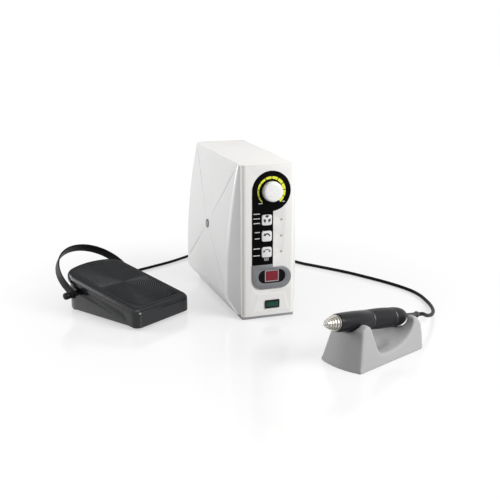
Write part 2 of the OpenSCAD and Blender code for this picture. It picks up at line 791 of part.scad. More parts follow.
module knob_shaft() color("silver") {
    front_rod(dial_x, dial_z, knob_back_y - knob_socket_l, board_y - 1, pot_shaft_d);
}

// A button cap with its retaining flange and stem, at height z
module button(z) {
    front_plate(front_inner_y + cap_gap, wall + cap_gap + button_proud) rounded_hole(button_x, z, button_w, button_w, button_r);
    front_plate(front_inner_y + cap_gap + button_flange, button_flange) translate([button_x, z])
        square(button_w + 2 * cap_gap + 2, center = true);
    front_rod(button_x, z, front_inner_y + cap_gap + button_flange,
        board_y - switch_key_h - switch_plunger_h - button_travel - cap_gap, button_stem_d);
}

module upper_button() color("white") button(button_z[0]);

module middle_button() color("white") button(button_z[1]);

module lower_button() color("white") button(button_z[2]);

rocker_w = switch_w - 2 * switch_rim - 2 * cap_gap;
rocker_h = switch_h - 2 * switch_rim - 2 * cap_gap;
rocker_axis_y = front_y + 1;
rocker_pin_l = rocker_h + 2 * cap_gap + switch_rim;

module power_rocker() color("seagreen") {
    half = rocker_w / 2;
    translate([rocker_x, rocker_axis_y, rocker_z]) rotate(-rocker_tilt) {
        translate([0, 0, -rocker_h / 2]) linear_extrude(rocker_h) polygon([
            [-half, -4.2], [0, -2.8], [half, -4.2], [half * 0.86, 1.2], [2, 4.5], [-2, 4.5], [-half * 0.86, 1.2]]);
        cylinder(h = rocker_pin_l, d = rocker_pin_d, center = true);
    }
}

module rocker_housing() color("black") {
    difference() {
        union() {
            front_plate(front_y, switch_flange_t) rounded_hole(rocker_x, rocker_z, switch_w, switch_h, 1);
            front_plate(front_y + switch_depth, switch_depth) translate([rocker_x, rocker_z])
                square([switch_w - switch_rim, switch_h - switch_rim], center = true);
        }
        front_plate(front_y + switch_depth - 2, switch_depth + switch_flange_t) translate([rocker_x, rocker_z])
            square([rocker_w + 2 * cap_gap + 0.4, rocker_h + 2 * cap_gap], center = true);
        translate([rocker_x, rocker_axis_y, rocker_z])
            cylinder(h = rocker_pin_l + 2 * slip, d = rocker_pin_d + 2 * running_gap, center = true);
    }
}

// Control unit: electronics and rear connectors

module front_board() color("darkgreen") {
    front_plate(board_y + board_t, board_t) translate([0, front_board_mid])
        square([front_board_w, front_board_h], center = true);
    for (z = button_z) {
        front_plate(board_y, switch_key_h) translate([button_x, z]) square(6, center = true);
        front_rod(button_x, z, board_y - switch_key_h - switch_plunger_h, board_y - switch_key_h, 3.4);
    }
    difference() {
        union() {
            front_rod(dial_x, dial_z, front_inner_y + 1, board_y, pot_d);
            front_rod(dial_x, dial_z, knob_back_y - bushing_reach, front_inner_y + 1, bushing_d);
        }
        front_rod(dial_x, dial_z, knob_back_y - bushing_reach - cut, board_y - 0.7, pot_shaft_d + 2 * running_gap);
    }
}

module main_board() color("darkgreen") {
    y0 = main_board_y;
    z0 = tray_h + pillar_h;
    translate([-main_board_w / 2, y0, z0]) cube([main_board_w, main_board_l, board_t]);
    for (i = [0:2]) translate([-main_board_w / 4, y0 + (1 + i) * capacitor_pitch, z0 + board_t])
        cylinder(h = capacitor_h, d = capacitor_d);
    translate([main_board_w / 6, y0 + capacitor_pitch, z0 + board_t]) cube([sink_w, sink_l, sink_h]);
}

module transformer() color("goldenrod") {
    y0 = main_board_y + main_board_l + winding_out + 4;
    translate([-core_w / 2, y0, tray_h]) cube([core_w, core_l, core_h]);
    for (y = [y0 - winding_out, y0 + core_l])
        translate([-core_w / 4, y, tray_h + core_h / 4]) cube([core_w / 2, winding_out, core_h / 2]);
}

module mains_inlet() color("black") {
    difference() {
        union() {
            front_plate(rear_y + inlet_flange_t, inlet_flange_t) rounded_hole(0, inlet_z, inlet_w, inlet_h, 3);
            front_plate(rear_y, inlet_back) translate([0, inlet_z])
                square([recess_w + 2 * wall, recess_h + 2 * wall], center = true);
        }
        front_plate(rear_y + inlet_flange_t + cut, recess_depth + inlet_flange_t + cut) translate([0, inlet_z])
            square([recess_w, recess_h], center = true);
    }
    for (p = [[-7, -2], [0, 2], [7, -2]])
        front_plate(rear_y + inlet_flange_t - pin_setback, recess_depth + inlet_flange_t - pin_setback)
            translate([p[0], inlet_z + p[1]]) square([2, 4], center = true);
}

module socket(x) {
    translate([x, rear_y + socket_rim_t, socket_z]) rotate([90, 0, 0]) turned_piece([
        [plug_nose_d / 2 + plug_grip_gap, 0], [socket_rim_d / 2, 0], [socket_rim_d / 2, socket_rim_t],
        [socket_d / 2, socket_rim_t], [socket_d / 2, socket_rim_t + socket_depth], [0, socket_rim_t + socket_depth],
        [0, socket_rim_t + socket_depth - 4], [plug_nose_d / 2 + plug_grip_gap, socket_rim_t + socket_depth - 4]]);
}

module handpiece_socket() color("silver") socket(handpiece_socket_x);

module pedal_socket() color("silver") socket(pedal_socket_x);

// Handpiece, turned about its own axis, nose at negative stations

module bur() color("silver") at_handpiece() turned_piece([
    [0, -nose_l - bur_reach], [0.8, -nose_l - bur_reach], [1.15, -nose_l - bur_reach + 1.2],
    [1.15, -nose_l - bur_reach + 3], [0.6, -nose_l - bur_reach + 4.2], [shank_d / 2, -nose_l - bur_reach + 5],
    [shank_d / 2, -10], [0, -10]]);

module collet() color("lightgray") at_handpiece() turned_piece([
    [shank_d / 2 + slip / 4, -nose_l - 0.8], [collet_d / 2 - 0.4, -nose_l - 0.8], [collet_d / 2, -nose_l],
    [collet_d / 2, -6], [0, -6], [0, -9], [shank_d / 2 + slip / 4, -9]]);

module spindle() color("silver") at_handpiece() turned_piece([
    [collet_d / 2 + slip / 4, -nose_l + 6], [spindle_d / 2, -nose_l + 6], [spindle_d / 2, rotor_s], [rotor_d / 2, rotor_s],
    [rotor_d / 2, rotor_s + rotor_l], [spindle_d / 2, rotor_s + rotor_l], [spindle_d / 2, ring2_s - 1],
    [0, ring2_s - 1], [0, -4], [collet_d / 2 + slip / 4, -4]]);

module nose_cone() color("gainsboro") at_handpiece() {
    r = nose_d / 2;
    mouth = collet_d / 2 + axial_gap;
    bore = spindle_d / 2 + axial_gap;
    turned_piece([
        [mouth, -nose_l], [r * 0.42, -nose_l], [r * 0.5, -nose_l * 0.87], [r * 0.6, -nose_l * 0.87],
        [r * 0.66, -nose_l * 0.67], [r * 0.74, -nose_l * 0.67], [r * 0.76, -nose_l * 0.5], [r * 0.86, -nose_l * 0.5],
        [r * 0.88, -nose_l * 0.3], [r, -nose_l * 0.3], [r, -axial_gap - nose_collar_l],
        [nose_tube_d / 2 + 0.6, -axial_gap - nose_collar_l], [nose_tube_d / 2 + 0.6, -axial_gap],
        [nose_tube_d / 2, -axial_gap], [nose_tube_d / 2, motor_s], [nose_bore_d / 2, motor_s],
        [nose_bore_d / 2, 2], [bore, 2], [bore, -nose_l + 5], [mouth, -nose_l + 5]]);
}

module grip_sleeve() color("black") at_handpiece() turned_piece([
    [nose_tube_d / 2 + running_gap, 0], [grip_front_d / 2 - 1, 0], [grip_front_d / 2, 1], [grip_d / 2 - 0.5, grip_l * 0.2],
    [grip_d / 2, grip_l * 0.45], [grip_d / 2, grip_l - axial_gap], [nose_tube_d / 2 + running_gap, grip_l - axial_gap]]);

// A thin band between two stations
module band(s, inner_d) {
    turned_piece([[inner_d / 2, s], [motor_end_d / 2 - 0.2, s], [motor_end_d / 2, s + ring_w / 4],
        [motor_end_d / 2, s + ring_w * 3 / 4], [motor_end_d / 2 - 0.2, s + ring_w], [inner_d / 2, s + ring_w]]);
}

module front_ring() color("silver") at_handpiece() band(ring1_s, nose_tube_d + slip / 2);

module motor_housing() color("#222222") at_handpiece() turned_piece([
    [motor_bore_d / 2, motor_s], [motor_end_d / 2, motor_s], [motor_d / 2, motor_s + motor_l * 0.35],
    [motor_d / 2, motor_s + motor_l * 0.55], [motor_end_d / 2, ring2_s], [motor_bore_d / 2, ring2_s]]);

module rear_ring() color("silver") at_handpiece() band(ring2_s, motor_bore_d);

module rear_cap() color("#222222") at_handpiece() {
    r = motor_end_d / 2;
    turned_piece(concat([[r - motor_wall, cap_s], [r, cap_s]],
        bezier([r, cap_s + 2], [r, cap_s + cap_l * 0.6], [r * 0.75, boot_s], [boot_d / 2 + 1, boot_s], 8),
        [[boot_d / 2, boot_s], [boot_d / 2, boot_s - 3]],
        bezier([boot_d / 2 + 1, boot_s - 3], [r * 0.68, boot_s - 3], [r - motor_wall, cap_s + cap_l * 0.45],
            [r - motor_wall, cap_s], 6)));
}

module stator() color("darkorange") at_handpiece() turned_piece([
    [rotor_d / 2 + rotor_gap, rotor_s], [motor_bore_d / 2 - slip / 4, rotor_s],
    [motor_bore_d / 2 - slip / 4, rotor_s + rotor_l], [rotor_d / 2 + rotor_gap, rotor_s + rotor_l]]);

// One bearing from its station and outer diameter
module bearing(s, d) {
    turned_piece([[spindle_d / 2 + running_gap, s], [d / 2 - slip / 4, s], [d / 2 - slip / 4, s + bearing_w],
        [spindle_d / 2 + running_gap, s + bearing_w]]);
}

module spindle_bearings() color("slategray") at_handpiece() {
    bearing(2, nose_bore_d);
    bearing(grip_l - bearing_w, nose_bore_d);
    bearing(ring2_s - bearing_w - 1, motor_bore_d);
}

module strain_relief() color("#1a1a1a") at_handpiece() {
    r = boot_d / 2;
    collar = boot_collar_d / 2;
    turned_piece([
        [0, boot_s - 3], [r - slip / 4, boot_s - 3], [r - slip / 4, boot_s], [r, boot_s + slip],
        [handpiece_cord_d / 2 + 0.3, boot_end_s - 6], [collar, boot_end_s - 5], [collar, boot_end_s - 1.5],
        [handpiece_cord_d / 2 + 0.3, boot_end_s], [0, boot_end_s]]);
}

// Stand

function stand_side() = let (h = stand_l / 2) concat(
    [[-h, 0], [-h + 14, stand_front_h - 9]],
    arc([-h + 29, stand_front_h - 7], 7, 150, 20),
    bezier([-h + 38, stand_front_h - 8], [-h + 42.5, scoop_z + 19], [-h + 43.5, scoop_z + 1], [-h + 57, scoop_z], 8),
    bezier([-h + 60, scoop_z], [h - 45, scoop_z + 0.5], [h - 27, scoop_z + 8], [h - 18, stand_rear_h - 8], 8),
    arc([h - 13, stand_rear_h - 5], 5, 150, 30),
    [[h - 2, stand_rear_h - 12], [h, 0]]);

module handpiece_stand() color("darkgray") at_stand() difference() {
    intersection() {
        linear_extrude(stand_front_h + cut) polygon(round_rect(stand_l, stand_w, stand_corner_r));
        translate([-stand_l / 2, 0, 0]) rotate([0, stand_rake, 0]) translate([stand_bow_r, 0, -stand_w])
            cylinder(h = 2 * stand_l, r = stand_bow_r);
        translate([0, stand_w / 2, 0]) rotate([90, 0, 0]) linear_extrude(stand_w) polygon(stand_side());
        rotate([90, 0, 90]) translate([0, 0, -stand_l / 2]) linear_extrude(stand_l) polygon([
            [-stand_w / 2, 0], [stand_w / 2, 0], [stand_w / 2 - stand_lean, stand_front_h + cut],
            [stand_lean - stand_w / 2, stand_front_h + cut]]);
    }
    translate([bowl_x, 0, scoop_z - bowl_dip + bowl_r]) sphere(bowl_r);
    translate([rest_x, 0, rest_z]) rotate([0, 90 + rest_tilt, 0]) {
        translate([0, 0, -cut]) cylinder(h = ring1_s + cut, d = grip_d + 2 * cradle_gap);
        translate([0, 0, ring1_s - cut]) cylinder(h = stand_l, d = motor_d + 2 * cradle_gap);
    }
}

// Foot pedal, front towards -Y in its own frame

// The pedal's plan: round rear corners that run into the bowed back, and small front corners
function pedal_plan(inset, front, front_r) = let (r = pedal_rear_r - inset, x = pedal_w / 2 - inset - front_r) concat(
    arc([rear_x, rear_y_mid], r, 0, bow_start, 8),
    [for (i = [1:9]) let (a = bow_start + (180 - 2 * bow_start) * i / 10)
        [0, bow_y] + (pedal_bow_r - inset) * [cos(a), sin(a)]],
    arc([-rear_x, rear_y_mid], r, 180 - bow_start, 180, 8),
    arc([-x, front + front_r], front_r, 180, 270), arc([x, front + front_r], front_r, 270, 360));
// The base's rear wall at x and its side wall at y, near the rear corners
function base_back_y(x) = bow_y + sqrt(pow(pedal_bow_r - base_inset, 2) - x * x);
function base_side_x(y) = rear_x + sqrt(pow(pedal_rear_r - base_inset, 2) - pow(max(y - rear_y_mid, 0), 2));

module treadle_plan(inset) {
    polygon(pedal_plan(inset, inset - pedal_l / 2, pedal_corner_r - inset));
}

function treadle_outline() = let (h = pedal_l / 2, inner = toe_l - h) concat(
    [[-h, toe_gap]], arc([toe_r - h, pedal_front_h - toe_r], toe_r, 180, 90 + pedal_pitch),
    arc([h - 6, treadle_z(h) - 8], 6, 90 + pedal_pitch, 0),
    [[h, treadle_z(h) - skirt_h], [inner, treadle_z(inner) - skirt_h], [inner, toe_gap]]);

module pedal_treadle() color("#1c1d20") at_pedal() {
    h = pedal_l / 2;
    difference() {
        intersection() {
            across(pedal_w / 2, treadle_outline());
            linear_extrude(pedal_rear_h + cut) treadle_plan(0);
        }
        intersection() {
            across(pedal_w / 2, [[-h, -cut], [h, -cut], [h, treadle_z(h) - plate_drop],
                [toe_r - h, treadle_z(toe_r - h) - plate_drop], [-h, pedal_front_h - toe_r]]);
            translate([0, 0, -cut]) linear_extrude(pedal_rear_h + 2 * cut) treadle_plan(pedal_wall);
        }
        hinge_rod(pedal_w / 2 + cut, hinge_d + 2 * running_gap);
    }
}

module hinge_rod(half, d) {
    translate([-half, hinge_y, hinge_z]) rotate([0, 90, 0]) cylinder(h = 2 * half, d = d);
}

// Height of the base's walls, under the treadle when it is pressed right down
function base_top(y) = treadle_z(y) - plate_drop - base_clear - max(y - hinge_y, 0) * tan(treadle_travel);

module base_plan(inset) {
    polygon(pedal_plan(base_inset + inset, base_front_y + inset, pedal_corner_r - pedal_wall - inset));
}

module pedal_base() color("#232427") at_pedal() {
    floor_z = foot_h + pedal_wall;
    boss_x = base_side_x(bail_y + bail_boss_d / 2) - slip;
    boss_end = bail_inner_x - cap_gap;
    difference() {
        union() {
            difference() {
                intersection() {
                    translate([0, 0, foot_h]) linear_extrude(pedal_rear_h) base_plan(0);
                    across(base_half_w, [[base_front_y, 0], [base_rear_y, 0], [base_rear_y, base_top(base_rear_y)],
                        [hinge_y, base_top(hinge_y)], [base_front_y, pedal_front_h - toe_r - pedal_wall]]);
                }
                translate([0, 0, floor_z]) linear_extrude(pedal_rear_h) base_plan(pedal_wall);
            }
            for (x = [-1, 1]) translate([x * pedal_w / 4, spring_y, floor_z])
                cylinder(h = spring_seat_h, d = spring_d + 4);
            for (side = [0, 1]) mirror([side, 0, 0]) {
                translate([boss_x, bail_y, bail_z]) rotate([0, 90, 0])
                    cylinder(h = boss_end - boss_x, d = bail_boss_d);
                translate([base_half_w, bail_y, bail_z]) rotate([atan2(bail_stop_z, bail_stop_y), 0, 0])
                    translate([0, 0, -bail_stop_d / 2])
                        cube([boss_end - base_half_w, norm([bail_stop_y, bail_stop_z]), bail_stop_d]);
                translate([base_half_w, bail_y + bail_stop_y, bail_z + bail_stop_z]) rotate([0, 90, 0])
                    cylinder(h = bail_inner_x + bail_t - base_half_w, d = bail_stop_d);
            }
        }
        hinge_rod(pedal_w / 2, hinge_d + slip / 2);
        translate([-pedal_w, bail_y, bail_z]) rotate([0, 90, 0]) cylinder(h = 2 * pedal_w, d = bail_screw_d + slip / 2);
        gland_hole();
    }
}

// The peg that the resting bail leans on, measured from the pivot
bail_stop_side = bail_w / 2 + bail_stop_d / 2 + cap_gap;
bail_stop_y = bail_stop_at * sin(bail_lean) + bail_stop_side * cos(bail_lean);
bail_stop_z = bail_stop_at * cos(bail_lean) - bail_stop_side * sin(bail_lean);

gland_root_y = base_back_y(abs(gland_x) + gland_d / 2) - pedal_wall;
gland_in = base_rear_y - gland_root_y;

module gland_hole() {
    front_rod(gland_x, gland_z, gland_root_y - cut, base_rear_y + cut, gland_d + slip / 2);
}

module pedal_gland() color("black") at_pedal() {
    translate([gland_x, gland_root_y, gland_z]) rotate([-90, 0, 0]) turned_piece([
        [0, 0], [gland_d / 2, 0], [gland_d / 2, gland_in + 2], [gland_d / 2 - 1.5, gland_in + 3],
        [pedal_cord_d / 2 + 0.6, gland_in + gland_l], [0, gland_in + gland_l]]);
}

module treadle_pin() color("silver") at_pedal() hinge_rod(pedal_w / 2 - 0.5, hinge_d);

spring_top = treadle_z(spring_y) - plate_drop - spring_d / 2 * pedal_slope - axial_gap;

module treadle_springs() color("silver") at_pedal() {
    z0 = foot_h + pedal_wall + spring_seat_h;
    for (x = [-1, 1]) translate([x * pedal_w / 4, spring_y, z0]) turned_piece([
        [spring_d / 2 - 1.4, 0], [spring_d / 2, 0], [spring_d / 2, spring_top - z0], [spring_d / 2 - 1.4, spring_top - z0]]);
}

module pedal_sensor() color("darkgreen") at_pedal() {
    translate([-20, -20, foot_h + pedal_wall]) cube([40, 26, board_t]);
    translate([-8, -12, foot_h + pedal_wall + board_t]) cube([16, 10, 8]);
}

module pedal_feet() color("#151515") at_pedal() {
    for (x = [-1, 1], y = [base_front_y + pedal_corner_r + foot_d / 2, base_rear_y - (pedal_rear_r + foot_d) / 2])
        translate([x * (base_half_w - foot_d / 2 - 4), y, 0]) cylinder(h = foot_h, d = foot_d);
}

// Half of the bail's outline: a leg and a quarter of an ellipse, from the pivot to the top
function bail_curve(half, reach) = concat([[half, 0]],
    [for (i = [0:16]) let (a = 180 * i / 16) [half * cos(a), bail_leg + (reach - bail_leg) * sin(a)]],
    [[-half, 0]]);

module pedal_bail() color("#101012") at_pedal() translate([0, bail_y, bail_z]) difference() {
    union() {
        rotate([90 - bail_lean, 0, 0]) translate([0, 0, -bail_w / 2]) linear_extrude(bail_w) difference() {
            polygon(bail_curve(bail_inner_x + bail_t, bail_reach));
            polygon(concat([[bail_inner_x, -bail_w]], bail_curve(bail_inner_x, bail_reach - bail_t), [[-bail_inner_x, -bail_w]]));
        }
        // The strip's two ends are rounded about the pivot
        for (side = [0, 1]) mirror([side, 0, 0])
            translate([bail_inner_x, 0, 0]) rotate([0, 90, 0]) cylinder(h = bail_t, d = bail_w);
    }
    translate([-pedal_w, 0, 0]) rotate([0, 90, 0]) cylinder(h = 2 * pedal_w, d = bail_screw_d + 2 * running_gap);
}

module bail_knobs() color("#101012") at_pedal() for (side = [0, 1]) mirror([side, 0, 0])
    translate([0, bail_y, bail_z]) rotate([0, 90, 0]) {
        head = bail_inner_x + bail_t + cap_gap;
        translate([0, 0, base_half_w - pedal_wall]) cylinder(h = head - base_half_w + pedal_wall, d = bail_screw_d);
        translate([0, 0, head]) cylinder(h = bail_knob_l, d = bail_knob_d);
    }

// Cords

module plug(x, cord_d) {
    translate([x, plug_start_y, socket_z]) rotate([-90, 0, 0]) turned_piece([
        [0, plug_grip_gap - socket_depth + 4], [plug_nose_d / 2, plug_grip_gap - socket_depth + 4], [plug_nose_d / 2, 0],
        [plug_d / 2 - 0.6, 0], [plug_d / 2, 0.6], [plug_d / 2, plug_l - 1], [plug_d / 2 - 1, plug_l],
        [cord_d / 2 + 1.8, plug_l], [cord_d / 2 + 0.8, plug_l + plug_tail], [0, plug_l + plug_tail]]);
}

module handpiece_plug() color("dimgray") plug(handpiece_socket_x, handpiece_cord_d);

module pedal_plug() color("dimgray") plug(pedal_socket_x, pedal_cord_d);

handpiece_way = unit_vec(handpiece_point(1) - handpiece_point(0));
gland_end = pedal_point([gland_x, base_rear_y + gland_l, gland_z]);
gland_way = unit_vec(gland_end - pedal_point([gland_x, base_rear_y, gland_z]));

module handpiece_cord() color("#111111") tube(laid(led(handpiece_point(boot_end_s), handpiece_way,
    handpiece_route, handpiece_coil[0], coil_heading(handpiece_coil_start, 1, 0), handpiece_cord_d)), handpiece_cord_d, cord_sides);

module handpiece_cord_lead() color("#111111") tube(laid(led(handpiece_coil[len(handpiece_coil) - 1],
    coil_heading(handpiece_coil_start, 1, handpiece_turns), handpiece_lead_route,
    [handpiece_socket_x, plug_end_y, socket_z], [0, -1, 0], handpiece_cord_d)), handpiece_cord_d, cord_sides);

module pedal_cord() color("#111111") tube(laid(led(gland_end, gland_way, pedal_route, pedal_coil[0],
    coil_heading(pedal_coil_start, -1, 0), pedal_cord_d)), pedal_cord_d, cord_sides);

module pedal_cord_lead() color("#111111") tube(laid(led(pedal_coil[len(pedal_coil) - 1],
    coil_heading(pedal_coil_start, -1, pedal_turns), pedal_lead_route,
    [pedal_socket_x, plug_end_y, socket_z], [0, -1, 0], pedal_cord_d)), pedal_cord_d, cord_sides);

module handpiece_cord_coil() color("#111111") {
    echo(handpiece_coil_least_gap = least_gap(handpiece_coil, handpiece_cord_d));
    tube(handpiece_coil, handpiece_cord_d, coil_sides);
}

module pedal_cord_coil() color("#111111") {
    echo(pedal_coil_least_gap = least_gap(pedal_coil, pedal_cord_d));
    tube(pedal_coil, pedal_cord_d, coil_sides);
}

// A strap round a coil's bundle of turns at angle a
module tie(at, a, turns, r, d) {
    room = 1;
    r0 = r - d / 2 - room;
    r1 = coil_outer(turns, r, d) + d / 2 + room;
    h = 2 * d + layer_gap + 2 * slip;
    translate([at[0], at[1], 0]) rotate(a) rotate([90, 0, 0]) translate([0, 0, -tie_w / 2]) linear_extrude(tie_w) difference() {
        translate([r0 - tie_t, 0]) square([r1 - r0 + 2 * tie_t, h + 2 * tie_t]);
        translate([r0, tie_t]) square([r1 - r0, h]);
    }
}

module cord_ties() color("#2a2a2a") {
    tie(handpiece_coil_at, 215, handpiece_turns, handpiece_coil_r, handpiece_cord_d);
    tie(pedal_coil_at, 215, pedal_turns, pedal_coil_r, pedal_cord_d);
}

front_bezel();
top_cover();
left_side_panel();
right_side_panel();
rear_panel();
base_tray();
side_badges();
case_screws();
control_overlay();
display_bezel();
display_window();
display_module();
indicator_leds();
speed_knob();
knob_shaft();
upper_button();
middle_button();
lower_button();
power_rocker();
rocker_housing();
front_board();
main_board();
transformer();
mains_inlet();
handpiece_socket();
pedal_socket();
bur();
collet();
spindle();
nose_cone();
grip_sleeve();
front_ring();
motor_housing();
rear_ring();
rear_cap();
stator();
spindle_bearings();
strain_relief();
handpiece_stand();
pedal_base();
pedal_treadle();
treadle_pin();
treadle_springs();
pedal_sensor();
pedal_feet();
pedal_bail();
bail_knobs();
pedal_gland();
handpiece_cord();
handpiece_cord_coil();
handpiece_cord_lead();
handpiece_plug();
pedal_cord();
pedal_cord_coil();
pedal_cord_lead();
pedal_plug();
cord_ties();
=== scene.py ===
import json
import math
import bpy
import bmesh
from mathutils import Matrix, Vector


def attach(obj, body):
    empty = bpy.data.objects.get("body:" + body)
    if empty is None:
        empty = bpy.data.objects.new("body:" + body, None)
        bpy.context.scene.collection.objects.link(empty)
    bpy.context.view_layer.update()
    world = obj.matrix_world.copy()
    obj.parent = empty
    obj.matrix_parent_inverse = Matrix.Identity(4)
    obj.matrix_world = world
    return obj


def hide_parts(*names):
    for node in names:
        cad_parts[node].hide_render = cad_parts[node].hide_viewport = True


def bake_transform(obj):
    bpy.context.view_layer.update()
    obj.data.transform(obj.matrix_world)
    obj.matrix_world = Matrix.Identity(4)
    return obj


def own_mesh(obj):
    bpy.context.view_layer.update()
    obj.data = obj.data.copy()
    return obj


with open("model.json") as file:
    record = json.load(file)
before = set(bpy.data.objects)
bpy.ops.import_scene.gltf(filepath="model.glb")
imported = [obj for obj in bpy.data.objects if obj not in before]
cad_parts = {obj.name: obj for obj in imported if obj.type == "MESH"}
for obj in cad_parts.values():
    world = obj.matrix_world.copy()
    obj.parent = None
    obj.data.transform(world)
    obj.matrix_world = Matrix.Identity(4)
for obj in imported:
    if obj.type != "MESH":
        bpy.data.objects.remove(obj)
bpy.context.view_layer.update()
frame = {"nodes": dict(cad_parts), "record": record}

# Table, room and view
# The set stands on a white polished table in a white room. One large soft lamp hangs to the right
# in front, one stands to the left behind and one hangs overhead. The camera looks slightly down.
scene = bpy.context.scene
scene.view_settings.view_transform = "Standard"
mm = 0.001

lens = bpy.data.cameras.new("view")
lens.lens, lens.sensor_width, lens.clip_end = 56.4, 36, 20
camera = bpy.data.objects.new("view", lens)
camera.location = (-0.3955, -1.172, 0.407)
camera.rotation_euler = (math.radians(75), 0, math.radians(-19.2))
scene.collection.objects.link(camera)
scene.camera = camera

for name, place, target, size, power in (
        ("right_lamp", (0.9, -1.05, 0.75), (0, -0.15, 0.1), 0.8, 20.5),
        ("left_lamp", (-1.3, 0.6, 0.5), (-0.05, 0, 0.1), 1.0, 16),
        ("top_lamp", (0, 0.15, 1.5), (0, 0, 0.1), 1.2, 6.5)):
    light = bpy.data.lights.new(name, "AREA")
    light.size, light.energy = size, power
    lamp = bpy.data.objects.new(name, light)
    lamp.location = place
    lamp.rotation_euler = (Vector(target) - Vector(place)).to_track_quat("-Z", "Y").to_euler()
    scene.collection.objects.link(lamp)


def put(socket, value):
    """Gives a node's input a plain value, or joins it to another node's output."""
    if isinstance(value, bpy.types.NodeSocket):
        socket.id_data.links.new(value, socket)
    else:
        socket.default_value = value


def fill(node, **parts):
    """Sets a node's own options, named in small letters, and its inputs."""
    for label, value in parts.items():
        if label.islower():
            setattr(node, label, value)
        else:
            put(node.inputs[label.replace("_", " ")], value)
    return node


def bench(tree):
    """The two tools for a node tree: one adds a node, the other a step of arithmetic."""
    def add(kind, **parts):
        return fill(tree.nodes.new(kind), **parts)

    def maths(kind, *terms):
        step = add("ShaderNodeMath", operation=kind)
        for socket, term in zip(step.inputs, terms):
            put(socket, term)
        return step.outputs[0]

    return add, maths


def shown(add, maths):
    """1 for what the camera, a mirror or glass sees, 0 for light on its way to a surface."""
    path = add("ShaderNodeLightPath").outputs
    seen = maths("MAXIMUM", path["Is Camera Ray"], path["Is Transmission Ray"])
    return maths("MAXIMUM", seen, path["Is Glossy Ray"])


def mixed(add, share, first, second):
    """Two shaders laid over each other, with the share of the second."""
    mix = add("ShaderNodeMixShader")
    for socket, source in zip(mix.inputs, (share, first.outputs[0], second.outputs[0])):
        put(socket, source)
    return mix


room = bpy.data.worlds.new("white_room")
room.use_nodes = True
scene.world = room
room.node_tree.nodes.clear()
add, maths = bench(room.node_tree)
white = (1, 1, 1, 1)
ambient = add("ShaderNodeBackground", Color=white, Strength=0.2)
backdrop = add("ShaderNodeBackground", Color=white)
walls = mixed(add, shown(add, maths), ambient, backdrop)
add("ShaderNodeOutputWorld", Surface=walls.outputs[0])

table_white = bpy.data.materials.new("table_white")
table_white.use_nodes = True
table_white.node_tree.nodes.clear()
add, maths = bench(table_white.node_tree)
seen = shown(add, maths)
tone = add("ShaderNodeMix", data_type="RGBA", Factor=seen,
           A=(0.35, 0.35, 0.35, 1), B=(0.92, 0.92, 0.92, 1))
shaded = add("ShaderNodeBsdfDiffuse", Color=tone.outputs["Result"])
glow = add("ShaderNodeEmission", Strength=1.04)
gloss = add("ShaderNodeBsdfGlossy", Roughness=0.16)
where = add("ShaderNodeTexCoord").outputs["Object"]
away = add("ShaderNodeVectorMath", operation="LENGTH", Vector=where).outputs["Value"]
far = add("ShaderNodeMapRange", interpolation_type="SMOOTHSTEP", Value=away,
          From_Min=0.15, From_Max=0.55, To_Min=0.5, To_Max=1)
near = add("ShaderNodeMapRange", Value=away, From_Min=0.3, From_Max=0.75, To_Min=0.12, To_Max=0)
lit = mixed(add, maths("MULTIPLY", seen, far.outputs["Result"]), shaded, glow)
top = mixed(add, near.outputs["Result"], lit, gloss)
add("ShaderNodeOutputMaterial", Surface=top.outputs[0])
reach, drop = 9, -0.2 * mm
corners = [(x * reach, y * reach, drop) for x, y in ((-1, -1), (1, -1), (1, 1), (-1, 1))]
sheet = bpy.data.meshes.new("table")
sheet.from_pydata(corners, [], [(0, 1, 2, 3)])
sheet.materials.append(table_white)
table = bpy.data.objects.new("table", sheet)
scene.collection.objects.link(table)

# Base tray
# A shallow moulded tray of grey plastic that the whole unit is screwed to. It stands on its rim,
# set back a little from the covers, so only a thin line shows above the table. Its dark grey is
# partly its own colour and partly painted shadow, for the shaded gap under the covers.


def node_group(name, tree_kind, inputs, outputs):
    """A node group with named inputs, each with its usual value, and named outputs."""
    made = bpy.data.node_groups.new(name, tree_kind)
    for label, kind, value in inputs:
        socket = made.interface.new_socket(label, in_out="INPUT", socket_type="NodeSocket" + kind)
        if value is not None:
            socket.default_value = value
    for label, kind in outputs:
        made.interface.new_socket(label, in_out="OUTPUT", socket_type="NodeSocket" + kind)
    add, maths = bench(made)
    return made, add, maths, add("NodeGroupInput").outputs, add("NodeGroupOutput")


def skin_group():
    """Moulded plastic: slow changes of tone and polish, and the fine grain of the mould."""
    made, add, maths, given, result = node_group(
        "moulded_skin", "ShaderNodeTree",
        (("Colour", "Color", (0.8, 0.8, 0.8, 1)), ("Tone", "Float", 0.05),
         ("Polish", "Float", 0.35), ("Grain", "Float", 900)),
        (("Colour", "Color"), ("Roughness", "Float"), ("Height", "Float")))
    where = add("ShaderNodeTexCoord").outputs["Object"]
    cloud = add("ShaderNodeTexNoise", Vector=where, Scale=16, Detail=4).outputs["Fac"]
    grain = add("ShaderNodeTexNoise", Vector=where, Scale=given["Grain"]).outputs["Fac"]
    spread = add("ShaderNodeMapRange", Value=cloud, From_Min=0.3, From_Max=0.7,
                 To_Min=maths("SUBTRACT", 1, given["Tone"]))
    tint = add("ShaderNodeMix", data_type="RGBA", blend_type="MULTIPLY", Factor=1,
               A=given["Colour"], B=spread.outputs["Result"])
    fill(result, Colour=tint.outputs["Result"], Height=grain,
         Roughness=maths("MULTIPLY_ADD", cloud, 0.12, given["Polish"]))
    return made


moulded_skin = skin_group()


